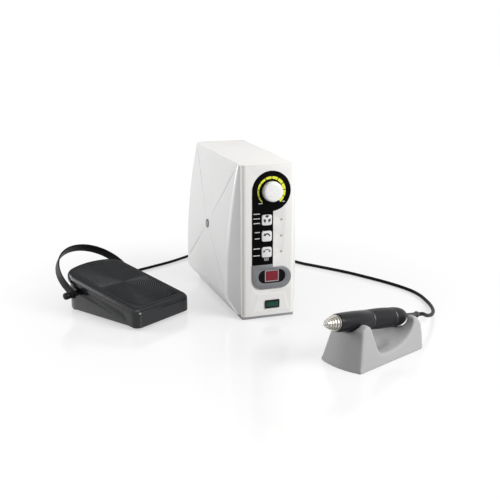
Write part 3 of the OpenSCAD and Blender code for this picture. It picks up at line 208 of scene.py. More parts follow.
def moulded(name, colour, tone=0.05, polish=0.35, grain=900, depth=0.05, **sockets):
    """A plastic, lacquer or metal with the moulded skin. The other sockets are the shader's own."""
    made = bpy.data.materials.new(name)
    made.use_nodes = True
    add = bench(made.node_tree)[0]
    skin = add("ShaderNodeGroup", node_tree=moulded_skin, Colour=(*colour, 1), Tone=tone,
               Polish=polish, Grain=grain).outputs
    relief = add("ShaderNodeBump", Strength=depth, Distance=0.3 * mm, Height=skin["Height"])
    fill(made.node_tree.nodes["Principled BSDF"], Base_Color=skin["Colour"],
         Roughness=skin["Roughness"], Normal=relief.outputs["Normal"], **sockets)
    made.diffuse_color = (*colour, 1)
    return made


def shaded_smooth(mesh, angle):
    mesh.shade_smooth()
    mesh.set_sharp_from_angle(angle=math.radians(angle))


def applied(ob):
    """Turns an object's modifiers into plain mesh."""
    seen = ob.evaluated_get(bpy.context.evaluated_depsgraph_get())
    mesh = bpy.data.meshes.new_from_object(seen)
    ob.modifiers.clear()
    old, ob.data = ob.data, mesh
    bpy.data.meshes.remove(old)
    return ob


bodies = frame["record"]["behaviour"]["bodies"]
body_of = {node: body for body, nodes in bodies.items() for node in nodes}
same_point = 0.002 * mm


def seated(ob, node):
    """A made piece takes the place and the body of the solid it stands for."""
    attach(ob, body_of[node])
    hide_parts(node)
    return ob


def copied(node, name, material, flat=False):
    """A copy of a solid, its triangles merged and, where asked, joined into flat faces."""
    mesh = frame["nodes"][node].data.copy()
    mesh.name = name
    work = bmesh.new()
    work.from_mesh(mesh)
    bmesh.ops.remove_doubles(work, verts=work.verts, dist=same_point)
    if flat:
        bmesh.ops.dissolve_limit(work, angle_limit=math.radians(0.5), verts=work.verts,
                                 edges=work.edges)
    work.to_mesh(mesh)
    work.free()
    mesh.materials.clear()
    mesh.materials.append(material)
    ob = bpy.data.objects.new(name, mesh)
    scene.collection.objects.link(ob)
    return ob


def rounded(ob, width, segments, corner):
    """Rounds the edges that turn by more than the corner angle."""
    edge = ob.modifiers.new("edge", "BEVEL")
    edge.width, edge.segments = width * mm, segments
    edge.limit_method, edge.angle_limit = "ANGLE", math.radians(corner)
    applied(ob)
    shaded_smooth(ob.data, 35)
    return ob


def softened(node, width, material, segments=3):
    """A copy of a solid with its edges rounded."""
    ob = copied(node, node + "_soft", material, flat=True)
    seated(rounded(ob, width, segments, 40), node)


# Partly painted shadow: the tray is made dark so its edge stands for the shaded gap under the
# covers.
softened("base_tray", 0.6, moulded("tray_grey_painted_shadow", (0.30, 0.30, 0.305), polish=0.5, depth=0.2))

# Front bezel, top cover and rear panel
# The middle casing is white moulded plastic with softly rounded edges. The bezel carries all the
# controls, the cover is clipped behind it, and the vented rear panel is held by four screws.
case_white = moulded("case_white", (0.87, 0.855, 0.835), tone=0.02, polish=0.36, grain=1400,
                     depth=0.03, Specular_IOR_Level=0.4)
softened("front_bezel", 1.2, case_white)
softened("top_cover", 0.9, case_white)
softened("rear_panel", 0.4, case_white, segments=2)


def lofted(work, rows, capped=True):
    """Skins closed rings of points, each with the next."""
    for a, b in zip(rows, rows[1:]):
        for i in range(len(a)):
            work.faces.new((a[i - 1], a[i], b[i], b[i - 1]))
    if capped:
        work.faces.new(rows[0])
        work.faces.new(rows[-1])


def built(name, work, *materials, smooth=None):
    """Turns worked faces into a named piece that faces outwards, with its finishes."""
    bmesh.ops.recalc_face_normals(work, faces=work.faces)
    mesh = bpy.data.meshes.new(name)
    work.to_mesh(mesh)
    work.free()
    for material in materials:
        mesh.materials.append(material)
    if smooth:
        shaded_smooth(mesh, smooth)
    ob = bpy.data.objects.new(name, mesh)
    scene.collection.objects.link(ob)
    return ob


def plates(name, outlines, y, height, material, body="set", slope=0.0):
    """Flat plates on the unit's front: outlines in X and Z, raised by height, drawn in by slope."""
    work = bmesh.new()
    for outline in outlines:
        centre = sum((Vector(p) for p in outline), Vector((0, 0))) / len(outline)
        upper = outline
        if slope:
            upper = [Vector(p) + (centre - Vector(p)).normalized() * slope for p in outline]
        lofted(work, [[work.verts.new((x * mm, level * mm, z * mm)) for x, z in row]
                      for row, level in ((outline, y), (upper, y - height))])
    ob = built(name, work, material)
    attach(ob, body)


front_y = -120
plates("switch_field", [[(-27.5, 8.5), (34.5, 8.5), (28.5, 39), (-19.5, 39)]], front_y, 0.35,
       case_white, slope=4.0)

# Side panels
# Two swelling side covers of light grey plastic, moulded in one piece. Four fields meet in faint
# creases at the badge, darkened along them as painted shade, and a rounded edge in front, made pale
# as a painted highlight, leads to the slanted face by the bezel.
panel_white = moulded("panel_white", (0.77, 0.77, 0.765), tone=0.03, polish=0.36, grain=1400,
                      depth=0.03, Specular_IOR_Level=0.35)
# Painted highlight: the rounded front edge is paler than the panel, standing for the bright sheen
# along it.
lip_painted_highlight = moulded("lip_painted_highlight", (0.97, 0.97, 0.965), tone=0.02, polish=0.2, grain=1400,
                    depth=0.02, Coat_Weight=1.0)
# Painted shade: a darker grey for the faces along the creases, standing for the shade in the
# grooves.
crease_painted_shade = moulded("crease_painted_shade", (0.62, 0.62, 0.62), tone=0.03, polish=0.4, grain=1400,
                      depth=0.03, Specular_IOR_Level=0.3)
half_w, panel_front, panel_rear = 41.5, -113.5, 120.0
badge_out, badge_at, badge_z = 16.6, 4.5, 124.0
panel_low, field_low, belly_z, front_top, rear_top = 6.0, 38.0, 52.0, 232.5, 238.5
ridge_out, ridge_back, ridge_fall = 15, 28, 200.5
rear_out, rear_fall = 19.4, 186.5
foot_out = 4
foot_share = foot_out / ridge_out
crease_half, crease_depth, crease_end = 0.008, 1.0, 0.95
lip_columns, lip_full_at, lip_least = ((0.2, 1.6), (0.9, 3.6), (2.2, 6.2)), 9, 0.4
lower_rows = ((33, 1, 0), (28, 1, 0), (24, 0.9, 3), (17, 0.66, 9.5), (10.5, 0.4, 16),
              (panel_low, foot_share, 20))


def ridge_at(share, z):
    return Vector((ridge_out * share, panel_front + ridge_back * share, z))


def ridge(z):
    return ridge_at(1 - (max(z - belly_z, 0) / ridge_fall) ** 2, z)


def rear_edge(z):
    return Vector((rear_out * (1 - (max(z - belly_z, 0) / rear_fall) ** 2), panel_rear, z))


def side_panel(node, side):
    """Four fields from the badge to the rim, the lower rows under them, and the lip in front."""
    rings, steps, work = 14, 18, bmesh.new()
    shares = [0, crease_half] + [i / steps for i in range(1, steps)] + [1 - crease_half]
    rim = [ridge(field_low).lerp(rear_edge(field_low), t) for t in shares]
    rim += [rear_edge(field_low + (rear_top - field_low) * t) for t in shares]
    rim += [rear_edge(rear_top).lerp(ridge(front_top), t) for t in shares]
    rim += [ridge(front_top + (field_low - front_top) * t) for t in shares]

    def point(p):
        return work.verts.new((side * (half_w + p.x) * mm, p.y * mm, p.z * mm))

    def web(a, b, finish=0):
        for i in range(len(a) - 1):
            work.faces.new((a[i], a[i + 1], b[i + 1], b[i])).material_index = finish

    badge = Vector((badge_out, badge_at, badge_z))
    middle, last = point(badge), None
    for k in range(1, rings + 1):
        share = k / rings
        fade = min(1, 8 * share, 4 * max(0, crease_end - share))
        groove = Vector((crease_depth * fade, 0, 0))
        ring = []
        for i, p in enumerate(rim):
            p = badge.lerp(p, share)
            ring.append(point(p if i % len(shares) else p - groove))
        if last is None:
            for i in range(len(ring)):
                work.faces.new((middle, ring[i - 1], ring[i]))
        else:
            web(last + last[:1], ring + ring[:1])
            # The faces next to each crease line take the third finish, the darker painted shade.
            for i in range(0, len(ring), len(shares)) if k < rings else ():
                for face in ring[i].link_faces:
                    if last[i] in face.verts:
                        face.material_index = 2
        last = ring
    front = [(rim[i % len(rim)], last[i % len(rim)])
             for i in range(3 * len(shares), len(rim) + 1)]
    row = last[:len(shares) + 1]
    for z, share, heel in lower_rows:
        grown = (share - foot_share) / (1 - foot_share)
        fore = ridge_at(share, z)
        aft = Vector((foot_out + (rear_out - foot_out) * grown, panel_rear - heel, z))
        below = [point(fore.lerp(aft, t)) for t in shares + [1]]
        web(row, below)
        row = below
        front.append((fore, row[0]))
    columns = [[v for p, v in front]]
    for out, ahead in lip_columns:
        columns.append([point(p - min(max(p.x / lip_full_at, lip_least), 1)
                              * Vector((out, ahead, 0))) for p, v in front])
    columns.append([point(Vector((0, panel_front, p.z))) for p, v in front])
    # The lip's columns take the second finish, the paler painted highlight; the rest keep the
    # panel's.
    for k, (a, b) in enumerate(zip(columns, columns[1:])):
        web(a, b, 1 if k < len(lip_columns) else 0)
    inner = half_w * mm + 1e-7
    rims = [e for e in work.edges
            if len(e.link_faces) == 1 and max(abs(v.co.x) for v in e.verts) > inner]
    for v in bmesh.ops.extrude_edge_only(work, edges=rims)["geom"]:
        if isinstance(v, bmesh.types.BMVert):
            v.co.x = side * half_w * mm
    bmesh.ops.remove_doubles(work, verts=work.verts, dist=same_point)
    bmesh.ops.contextual_create(work, geom=[e for e in work.edges if len(e.link_faces) == 1])
    ob = built(node + "_cover", work, panel_white, lip_painted_highlight, crease_painted_shade)
    seated(rounded(ob, 2.2, 4, 48), node)


side_panel("left_side_panel", -1)
side_panel("right_side_panel", 1)

# Side badges
# A small round plastic cap is pressed into the middle of each side panel, over the end of the
# creases: a dark rim round a grey dome.


def turned(name, outline, place, material, steps=72, smooth=35, closed=False):
    """A turned piece from (radius, station) points in millimetres, set in place by a matrix."""
    work = bmesh.new()
    angles = [math.tau * i / steps for i in range(steps)]
    rings = []
    for r, s in outline:
        if r < 1e-6:
            rings.append([work.verts.new((0, 0, s * mm))])
        else:
            rings.append([work.verts.new((r * mm * math.cos(a), r * mm * math.sin(a), s * mm))
                          for a in angles])
    for a, b in zip(rings, rings[1:] + (rings[:1] if closed else [])):
        for i in range(steps):
            j = i + 1
            face = list(dict.fromkeys((a[i % len(a)], a[j % len(a)], b[j % len(b)], b[i % len(b)])))
            if len(face) > 2:
                work.faces.new(face)
    work.transform(place)
    return built(name, work, material, smooth=smooth)


def at(x, y, z):
    return Matrix.Translation((x * mm, y * mm, z * mm))


badge_rim = moulded("badge_rim", (0.07, 0.07, 0.075), polish=0.3)
badge_dome = moulded("badge_dome", (0.27, 0.27, 0.275), polish=0.25)
rim_line = [(0, -0.8), (6.9, -0.8), (6.9, 0.5), (6.6, 0.8), (5.5, 0.8), (5.3, 0.5), (0, 0.5)]
dome_line = [(0, 0.4), (5.2, 0.4), (4.6, 0.62), (2.6, 0.78), (0, 0.84)]
for side, label in ((-1, "left"), (1, "right")):
    place = at(side * (half_w + badge_out), badge_at, badge_z)
    place = place @ Matrix.Rotation(side * math.pi / 2, 4, "Y")
    seated(turned(label + "_badge_rim", rim_line, place, badge_rim, steps=48), "side_badges")
    dome = turned(label + "_badge_dome", dome_line, place, badge_dome, steps=40)
    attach(dome, "set")

# Rear screws
# Four pan-head steel screws with a cross recess hold the rear panel. One head is made by nodes
# and set on the four corners of the panel.


def bright_metal(name, colour, rough):
    return moulded(name, colour, tone=0.08, polish=rough, grain=2600, depth=0.03, Metallic=1.0)


def node_mesh(name, tree, material):
    """Runs a node tree on an empty mesh and keeps the result as plain mesh."""
    ob = bpy.data.objects.new(name, bpy.data.meshes.new(name))
    scene.collection.objects.link(ob)
    maker = ob.modifiers.new("maker", "NODES")
    maker.node_group = tree
    for item in tree.interface.items_tree:
        if item.name == "Finish":
            maker[item.identifier] = material
    applied(ob)
    ob.data.materials.clear()
    ob.data.materials.append(material)
    return ob


def screw_tree():
    made, add, _, given, result = node_group(
        "panel_screws", "GeometryNodeTree",
        (("Across", "Float", 0.067), ("Up", "Float", 0.217), ("Head radius", "Float", 0.003),
         ("Head height", "Float", 0.002), ("Recess width", "Float", 0.0008),
         ("Finish", "Material", None)),
        (("Geometry", "Geometry"),))
    grid = add("GeometryNodeMeshGrid", Size_X=given["Across"], Size_Y=given["Up"],
               Vertices_X=2, Vertices_Y=2)
    tall, radius, recess = given["Head height"], given["Head radius"], given["Recess width"]
    head = add("GeometryNodeMeshCylinder", Vertices=28, Radius=radius, Depth=tall)
    cross = add("GeometryNodeJoinGeometry")
    for size in (add("ShaderNodeCombineXYZ", X=recess, Y=radius, Z=tall),
                 add("ShaderNodeCombineXYZ", X=radius, Y=recess, Z=tall)):
        blade = add("GeometryNodeMeshCube", Size=size.outputs[0])
        fill(cross, Geometry=blade.outputs["Mesh"])
    lifted = add("GeometryNodeTransform", Geometry=cross.outputs[0],
                 Translation=add("ShaderNodeCombineXYZ", Z=tall).outputs[0])
    carved = add("GeometryNodeMeshBoolean", operation="DIFFERENCE",
                 Mesh_1=head.outputs["Mesh"], Mesh_2=lifted.outputs["Geometry"])
    placed = add("GeometryNodeInstanceOnPoints", Points=grid.outputs["Mesh"],
                 Instance=carved.outputs["Mesh"])
    real = add("GeometryNodeRealizeInstances", Geometry=placed.outputs["Instances"])
    painted = add("GeometryNodeSetMaterial", Geometry=real.outputs["Geometry"],
                  Material=given["Finish"])
    fill(result, Geometry=painted.outputs["Geometry"])
    return made


screw_steel = bright_metal("screw_steel", (0.6, 0.6, 0.62), 0.3)
to_rear = Matrix.Rotation(-math.pi / 2, 4, "X")
screws = node_mesh("panel_screws", screw_tree(), screw_steel)
screws.data.transform(at(0, 121, 120.5) @ to_rear)
seated(screws, "case_screws")

# Label sheet of the controls
# A black printed sheet glued to the bezel behind the dial and the buttons. The print is a tapered
# yellow-green scale round the dial and plain white bars beside the buttons.


def dressed(node, material):
    """Gives a solid that keeps its own shape a better finish."""
    mesh = frame["nodes"][node].data
    mesh.materials.clear()
    mesh.materials.append(material)


dressed("control_overlay",
        moulded("label_black", (0.003, 0.003, 0.0035), tone=0.3, polish=0.3, grain=2200,
                depth=0.02, Specular_IOR_Level=0.03))
print_yellow = moulded("print_yellow", (0.80, 0.83, 0.04), tone=0.12, polish=0.4)
print_white = moulded("print_white", (0.82, 0.82, 0.82), tone=0.2, polish=0.4)
print_grey = moulded("print_grey", (0.3, 0.3, 0.31), tone=0.2, polish=0.4)
print_up, label_y, dial_x, dial_z = 0.06, front_y - 0.5, 4.0, 194.5
fields, scale_start, scale_span, scale_r, scale_thin, scale_grow = 10, 228, 282, 22.0, 1.8, 3.6
scale = []
for k in range(fields):
    first, last = (scale_start - n * scale_span / fields for n in (k, k + 1))
    last += 3.6 if k > 2 else 2.0
    outer, inner = [], []
    for i in range(9):
        angle = first + (last - first) * i / 8
        thick = scale_thin + scale_grow * max((scale_start - angle) / scale_span, 0) ** 0.8
        angle = math.radians(angle)
        for row, r in ((outer, scale_r), (inner, scale_r - thick)):
            row.append((dial_x + r * math.cos(angle), dial_z + r * math.sin(angle)))
    scale.append(outer + inner[::-1])
plates("dial_scale", scale, label_y, print_up, print_yellow)
button_x, upper_z, middle_z, lower_z = -3.5, 153.7, 129.2, 104.7


def bar(x0, x1, z, height):
    low, high = z - height / 2, z + height / 2
    return [(x0, low), (x1, low), (x1, high), (x0, high)]


bars = [bar(-23.9, -13.9, upper_z + dz, 1.2) for dz in (8, 1, -6)]
bars += [bar(-22.1, -14.1, middle_z + dz, 1.2) for dz in (4.8, -4.6)]
bars += [bar(-23.9, -13.9, lower_z + dz, 1.2) for dz in (4.6, -6)]
bars += [bar(-16, -9.9, 177, 1.1), bar(20.7, 24.9, 178.2, 1.1)]
plates("legend_bars", bars, label_y, print_up, print_white)
plates("legend_block", [bar(x, x + 2, 92.2, 4.6) for x in (-7.1, -4.5, -1.9)], label_y, print_up,
       print_grey)

# Display panel
# A grey moulded frame with a fine light line round it holds a dark oval lens. Behind the lens sits
# a red two-figure display in a thin pale surround.
frame_grey = moulded("frame_grey", (0.20, 0.205, 0.215), tone=0.08, polish=0.4, depth=0.1)
softened("display_bezel", 0.5, frame_grey, segments=2)


def arc(cx, cz, r, a0, a1, n):
    angles = [math.radians(a0 + (a1 - a0) * i / n) for i in range(n + 1)]
    return [(cx + r * math.cos(a), cz + r * math.sin(a)) for a in angles]


line_w, line_up = 0.7, 0.35
frame_left, frame_right, frame_low, frame_mid, frame_top = -25.9, 36.0, 46.8, 63.5, 84.8
corner_r, end_r, step_x, step_z = 16.0, 16.7, 6.8, 80.2
outline = arc(frame_left + corner_r, frame_low + corner_r, corner_r + line_w, 180, 270, 12)
outline += arc(frame_right - end_r, frame_mid, end_r + line_w, -90, 90, 24)
outline += [(step_x + line_w, step_z + line_w), (step_x + line_w, frame_top),
            (frame_left - line_w, frame_top)]
plates("frame_line", [outline], front_y, line_up,
       moulded("line_pale", (0.72, 0.72, 0.72), polish=0.35))
dressed("display_window",
        moulded("lens_dark", (0.006, 0.006, 0.009), tone=0.2, polish=0.12, grain=2000,
                depth=0.0, Specular_IOR_Level=0.12))
dressed("display_module",
        moulded("display_red", (0.17, 0.009, 0.019), tone=0.15, polish=0.2, depth=0.01))
display_x, display_y, display_z = 5.1, front_y - 1.2, 66.0
half_wide, half_high, strip = 11.1, 8.9, 1.4
surround = [bar(display_x - half_wide, display_x + half_wide,
                display_z + side * (half_high - strip / 2), strip) for side in (-1, 1)]
for middle in (display_x - half_wide + strip / 2, display_x + half_wide - strip / 2):
    surround.append(bar(middle - strip / 2, middle + strip / 2, display_z, 2 * (half_high - strip)))
plates("display_surround", surround, display_y, 0.15,
       moulded("surround_pale", (0.42, 0.36, 0.37), polish=0.3))


def segment(x, z, reach, thin, upright):
    """One long six-sided stroke of a figure."""
    edge = [(thin - reach, 0), (2 * thin - reach, -thin), (reach - 2 * thin, -thin),
            (reach - thin, 0), (reach - 2 * thin, thin), (2 * thin - reach, thin)]
    return [(x - v, z + u) if upright else (x + u, z + v) for u, v in edge]


figures = []
figure_half, figure_tall, stroke = 2.3, 4.9, 0.55
for middle in (display_x - 3.9, display_x + 3.9):
    figures += [segment(middle, display_z + dz, figure_half, stroke, False)
                for dz in (-figure_tall, 0, figure_tall)]
    figures += [segment(middle + dx, display_z + dz, figure_tall / 2, stroke, True)
                for dx in (-figure_half, figure_half) for dz in (-figure_tall / 2, figure_tall / 2)]
plates("display_figures", figures, display_y, 0.05,
       moulded("figure_red", (0.40, 0.016, 0.032), tone=0.2, polish=0.2))

# Indicator lamps
# Three small lamps of clear plastic stand a little out of the bezel beside the buttons. They are
# pushed through from the board behind.
dressed("indicator_leds", moulded("lamp_clear", (0.42, 0.43, 0.43), polish=0.12, Coat_Weight=0.6))

# Speed knob
# A smooth knob of pearl-white plastic, slightly domed, pressed on the steel shaft of the
# potentiometer. It has no pointer, only a soft mother-of-pearl shimmer.


def pearl():
    made = moulded("knob_pearl", (0.80, 0.79, 0.77), tone=0.03, polish=0.2, Coat_Weight=0.5)
    add = bench(made.node_tree)[0]
    where = add("ShaderNodeTexCoord").outputs["Object"]
    cloud = add("ShaderNodeTexNoise", Vector=where, Scale=130, Distortion=1.4)
    ramp = add("ShaderNodeValToRGB", Fac=cloud.outputs["Fac"])
    tints = ramp.color_ramp.elements
    tints[0].position, tints[0].color = 0.35, (0.90, 0.83, 0.88, 1)
    tints[1].position, tints[1].color = 0.65, (0.85, 0.90, 0.85, 1)
    tints.new(0.5).color = (0.95, 0.945, 0.93, 1)
    fill(made.node_tree.nodes["Principled BSDF"], Base_Color=ramp.outputs["Color"])
    return made


knob_line = [(4.5, 0), (15, 0), (15.25, 0.4), (15.1, 4), (14.7, 7.2), (14.2, 8.3), (13.2, 9),
             (11.5, 9.3), (8, 9.45), (0, 9.5), (0, 6.5), (3.1, 6.5), (3.1, 3), (4.5, 3)]
on_front = at(dial_x, front_y - 1, dial_z) @ Matrix.Rotation(math.pi / 2, 4, "X")
seated(turned("knob_cap", knob_line, on_front, pearl()), "speed_knob")
dressed("knob_shaft", bright_metal("shaft_steel", (0.62, 0.62, 0.63), 0.28))

# Push buttons
# Three square white caps with round corners stand out of the sheet, each with a plain dark mark
# printed on it: three wedges, a bent arrow, and an arc with an arrow at both ends.
button_white = moulded("button_white", (0.83, 0.83, 0.82), tone=0.03, polish=0.28, Coat_Weight=0.2)
mark_dark = moulded("mark_dark", (0.02, 0.02, 0.022), polish=0.4)
mark_y, mark_up, mark_drop = front_y - 2.5, 0.05, 2


def round_about(z, *points):
    """Points about a button's middle line, from pairs of radius and angle."""
    return [(button_x + r * math.cos(math.radians(a)), z + r * math.sin(math.radians(a)))
            for r, a in points]


def swept(z, r, a0, a1, width):
    angles = [a0 + (a1 - a0) * i / 14 for i in range(15)]
    return round_about(z, *((r + width / 2, a) for a in angles),
                       *((r - width / 2, a) for a in angles[::-1]))


bent, both = middle_z - mark_drop, lower_z - mark_drop
marks = {
    "upper_button": [round_about(upper_z, (1.5, a), (5.8, a - 36), (6.4, a), (5.8, a + 36))
                     for a in (90, 210, 330)],
    "middle_button": [swept(bent, 4.2, 5, 130, 2.1),
                      round_about(bent, (1.6, 124), (7.0, 122), (5.8, 170))],
    "lower_button": [swept(both, 4.9, 56, 84, 1.8), swept(both, 4.9, 96, 124, 1.8),
                     round_about(both, (2.8, 40), (7.1, 46), (5.9, 4)),
                     round_about(both, (2.8, 140), (7.1, 134), (5.9, 176))]}
for node, shapes in marks.items():
    softened(node, 0.8, button_white)
    plates(node + "_mark", shapes, mark_y, mark_up, mark_dark, body=body_of[node])

# Mains switch
# A rocker of green translucent plastic, pivoted in a black housing that snaps into the bezel
# below the display.
softened("power_rocker", 0.35,
         moulded("rocker_green", (0.004, 0.075, 0.052), tone=0.4, polish=0.15, depth=0.0,
                 Transmission_Weight=0.25, Specular_IOR_Level=0.3), segments=2)
softened("rocker_housing", 0.4,
         moulded("switch_black", (0.008, 0.009, 0.009), polish=0.3, Specular_IOR_Level=0.1),
         segments=2)

# Electronics
# Two green circuit boards with their parts and a varnished mains transformer are screwed inside
# the unit, and a small board with the pedal's sensor is screwed inside the pedal.
board_green = moulded("board_green", (0.03, 0.20, 0.08), tone=0.4, polish=0.3, grain=500, depth=0.2)
for node in ("front_board", "main_board", "pedal_sensor"):
    dressed(node, board_green)
dressed("transformer", moulded("core_varnish", (0.30, 0.19, 0.06), tone=0.4, grain=700, depth=0.3))

# Rear connectors
# A black three-pin mains inlet and two nickel-plated round sockets with their screwed rims are
# set into the rear panel.
dressed("mains_inlet", moulded("inlet_black", (0.018, 0.018, 0.019), polish=0.4, depth=0.1))
nickel = bright_metal("socket_nickel", (0.66, 0.65, 0.63), 0.2)
for node in ("handpiece_socket", "pedal_socket"):
    softened(node, 0.3, nickel, segments=2)

# Handpiece nose and turning group
# A nickel-plated nose turned in four steps, with a bur held in the collet in front. Lathe marks
# run round it, and the steps carry fine bright edges.
stand_x, stand_y, stand_turn = 81.3, -300.6, 23.1
tip_x, tip_z, dip = -75.5, 63.0, 9.9
held = at(stand_x, stand_y, 0) @ Matrix.Rotation(math.radians(stand_turn), 4, "Z") \
    @ at(tip_x, 0, tip_z) @ Matrix.Rotation(math.radians(90 + dip), 4, "Y")


def lathe_group():
    """Marks of the lathe: fine rings along the axis of a turned piece."""
    made, add, maths, given, result = node_group(
        "lathe_marks", "ShaderNodeTree",
        (("Vector", "Vector", None), ("Rings", "Float", None), ("Polish", "Float", None)),
        (("Height", "Float"), ("Roughness", "Float")))
    along = add("ShaderNodeSeparateXYZ", Vector=given["Vector"]).outputs["Z"]
    rings = add("ShaderNodeTexNoise", noise_dimensions="1D", Scale=1,
                W=maths("MULTIPLY", along, given["Rings"])).outputs["Fac"]
    fill(result, Height=rings, Roughness=maths("MULTIPLY_ADD", rings, 0.16, given["Polish"]))
    return made


lathe_marks = lathe_group()


def turned_metal(name, colour, polish, rings=2200):
    """Bright metal with lathe marks along the handpiece's axis."""
    made = moulded(name, colour, tone=0.06, polish=polish, grain=2600, Metallic=1.0)
    add = bench(made.node_tree)[0]
    where = add("ShaderNodeTexCoord").outputs["Object"]
    own = add("ShaderNodeMapping", vector_type="TEXTURE", Vector=where,
              Location=held.to_translation(), Rotation=held.to_euler())
    lathe = add("ShaderNodeGroup", node_tree=lathe_marks, Vector=own.outputs["Vector"],
                Rings=rings, Polish=polish).outputs
    relief = add("ShaderNodeBump", Strength=0.12, Distance=0.1 * mm, Height=lathe["Height"])
    fill(made.node_tree.nodes["Principled BSDF"], Roughness=lathe["Roughness"],
         Normal=relief.outputs["Normal"])
    return made


nose_nickel = turned_metal("nose_nickel", (0.42, 0.405, 0.37), 0.24)
nose_r, nose_tip = 9.8, -19.0
nose_steps = ((0.40, 0), (0.43, 0.4), (0.5, 2.2), (0.5, 2.5), (0.585, 2.5), (0.6, 2.8), (0.66, 6),
              (0.655, 6.3), (0.725, 6.3), (0.74, 6.6), (0.76, 9.2), (0.755, 9.5), (0.845, 9.5),
              (0.86, 9.8), (0.88, 13), (0.875, 13.3), (0.985, 13.3), (1, 13.6))
nose_line = [(2.2, nose_tip)] + [(nose_r * share, nose_tip + s) for share, s in nose_steps]
nose_line += [(nose_r, -2.1), (nose_r * 0.985, -1.8), (10.6, -1.8), (10.6, -0.3), (10.0, -0.3),
              (10.0, 66), (7.5, 66), (7.5, 2), (3.3, 2), (3.3, nose_tip + 5), (2.2, nose_tip + 5)]
seated(turned("nose_steps", nose_line, held, nose_nickel, steps=96, smooth=30, closed=True),
       "nose_cone")
tool_steel = turned_metal("tool_steel", (0.62, 0.61, 0.60), 0.22, rings=5000)
for node in ("bur", "collet", "spindle"):
    dressed(node, tool_steel)
dressed("spindle_bearings", bright_metal("bearing_steel", (0.5, 0.5, 0.52), 0.25))
dressed("stator", moulded("winding_copper", (0.55, 0.24, 0.09), tone=0.4, depth=0.5, Metallic=1.0))

# Handpiece grip and motor sleeve
# The front grip is a glossy black sleeve that is twisted to open the chuck, the motor sleeve behind
# it is satin black anodised aluminium, with a thin dark ring at each end and a domed cap.
grip_black = moulded("grip_black", (0.012, 0.012, 0.014), tone=0.2, polish=0.24, grain=1800,
                     depth=0.06, Specular_IOR_Level=0.15)
grip_line = [(10.05, 0), (10.7, 0), (11.2, 0.15), (11.6, 0.6), (11.75, 1.3), (12.2, 6.5),
             (12.65, 14.4), (13.0, 24), (13.2, 33), (13.2, 62.7), (13.0, 63.2), (10.05, 63.2)]
seated(turned("grip_shell", grip_line, held, grip_black, steps=96, closed=True), "grip_sleeve")
ring_steel = turned_metal("ring_steel", (0.07, 0.07, 0.074), 0.34)
for node in ("front_ring", "rear_ring"):
    dressed(node, ring_steel)
motor_black = moulded("motor_black", (0.014, 0.014, 0.016), tone=0.2, polish=0.34, grain=2400,
                      depth=0.1, Specular_IOR_Level=0.12)
motor_r, swell, widest, stations = 13.4, 0.6, 11, 20
motor_line = [(11.4, 66), (13.1, 66), (motor_r, 66.4)]
for i in range(stations + 1):
    share = i / widest if i <= widest else (stations - i) / (stations - widest)
    motor_line.append((motor_r + swell * math.sin(math.pi * share / 2), 67 + 44 * i / stations))
motor_line += [(motor_r, 111.6), (13.1, 112), (11.4, 112)]
seated(turned("motor_shell", motor_line, held, motor_black, steps=96, closed=True), "motor_housing")
dome_curve = ((motor_r, 116.5), (motor_r, 131.3), (10.05, 142.5), (4.5, 142.5))
cap_line = [(11.4, 114.5), (13.1, 114.5), (motor_r, 114.9)]
for i in range(15):
    t = i / 14
    shares = (1 - t) ** 3, 3 * (1 - t) ** 2 * t, 3 * (1 - t) * t * t, t ** 3
    cap_line.append([sum(share * p[k] for share, p in zip(shares, dome_curve)) for k in (0, 1)])
cap_line += [(3.5, 142.5), (3.5, 139.5), (6, 139.5), (9.4, 130), (11.4, 120)]
seated(turned("motor_cap", cap_line, held, motor_black, steps=96, closed=True), "rear_cap")
boot_rubber = moulded("boot_rubber", (0.022, 0.022, 0.023), tone=0.2, polish=0.45, grain=1500,
                      depth=0.15)
boot_tip = 178
boot_line = [(0, 139.5), (3.45, 139.5), (3.45, 142.5), (3.6, 142.9), (3.45, 147), (3.2, 156),
             (3.05, 171), (3.3, 171.8), (4.2, 172.4), (4.5, 173.2), (4.5, 175), (4.2, 175.8),
             (3.3, 176.4), (3.05, 177), (3.05, boot_tip), (0, boot_tip)]
seated(turned("cord_boot", boot_line, held, boot_rubber, steps=48), "strain_relief")

# Handpiece stand
# One solid cradle cast in grey silicone-like plastic with generously rounded edges: a tall front
# rest for the grip, a scooped middle and a lower rear rest for the motor.
stand_grey = moulded("stand_grey", (0.41, 0.41, 0.415), tone=0.05, polish=0.5, grain=1100,
                     depth=0.12, Specular_IOR_Level=0.25)


def cradle():
    voxel, first_passes, more_passes, crisp_z = 1.1 * mm, 10, 24, 5 * mm
    ob = copied("handpiece_stand", "cradle", stand_grey)
    grid = ob.modifiers.new("grid", "REMESH")
    grid.mode, grid.voxel_size = "VOXEL", voxel
    round_off = ob.modifiers.new("round_off", "SMOOTH")
    round_off.factor, round_off.iterations = 0.5, first_passes
    applied(ob)
    work = bmesh.new()
    work.from_mesh(ob.data)
    upper = [v for v in work.verts if v.co.z > crisp_z]
    for k in range(more_passes):
        bmesh.ops.smooth_vert(work, verts=upper, factor=0.5,
                              use_axis_x=True, use_axis_y=True, use_axis_z=True)
    for v in work.verts:
        v.co.z = max(v.co.z, 0)
    work.to_mesh(ob.data)
    work.free()
    shaded_smooth(ob.data, 180)
    return ob


seated(cradle(), "handpiece_stand")

# Foot pedal base
# A charcoal plastic box with rounded corners under the treadle, on four rubber feet, with a boss
# and a stop for the bail on each side and the cord outlet at the back.
charcoal = moulded("pedal_charcoal", (0.009, 0.010, 0.012), tone=0.12, polish=0.15,
                   Specular_IOR_Level=0.42)
softened("pedal_base", 0.7, charcoal, segments=2)
rubber = moulded("foot_rubber", (0.02, 0.02, 0.02), tone=0.2, polish=0.6, grain=1200, depth=0.3)
dressed("pedal_feet", rubber)
dressed("pedal_gland", rubber)
dressed("treadle_pin", charcoal)
dressed("treadle_springs", bright_metal("spring_steel", (0.5, 0.5, 0.52), 0.3))
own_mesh(frame["nodes"]["treadle_springs"])

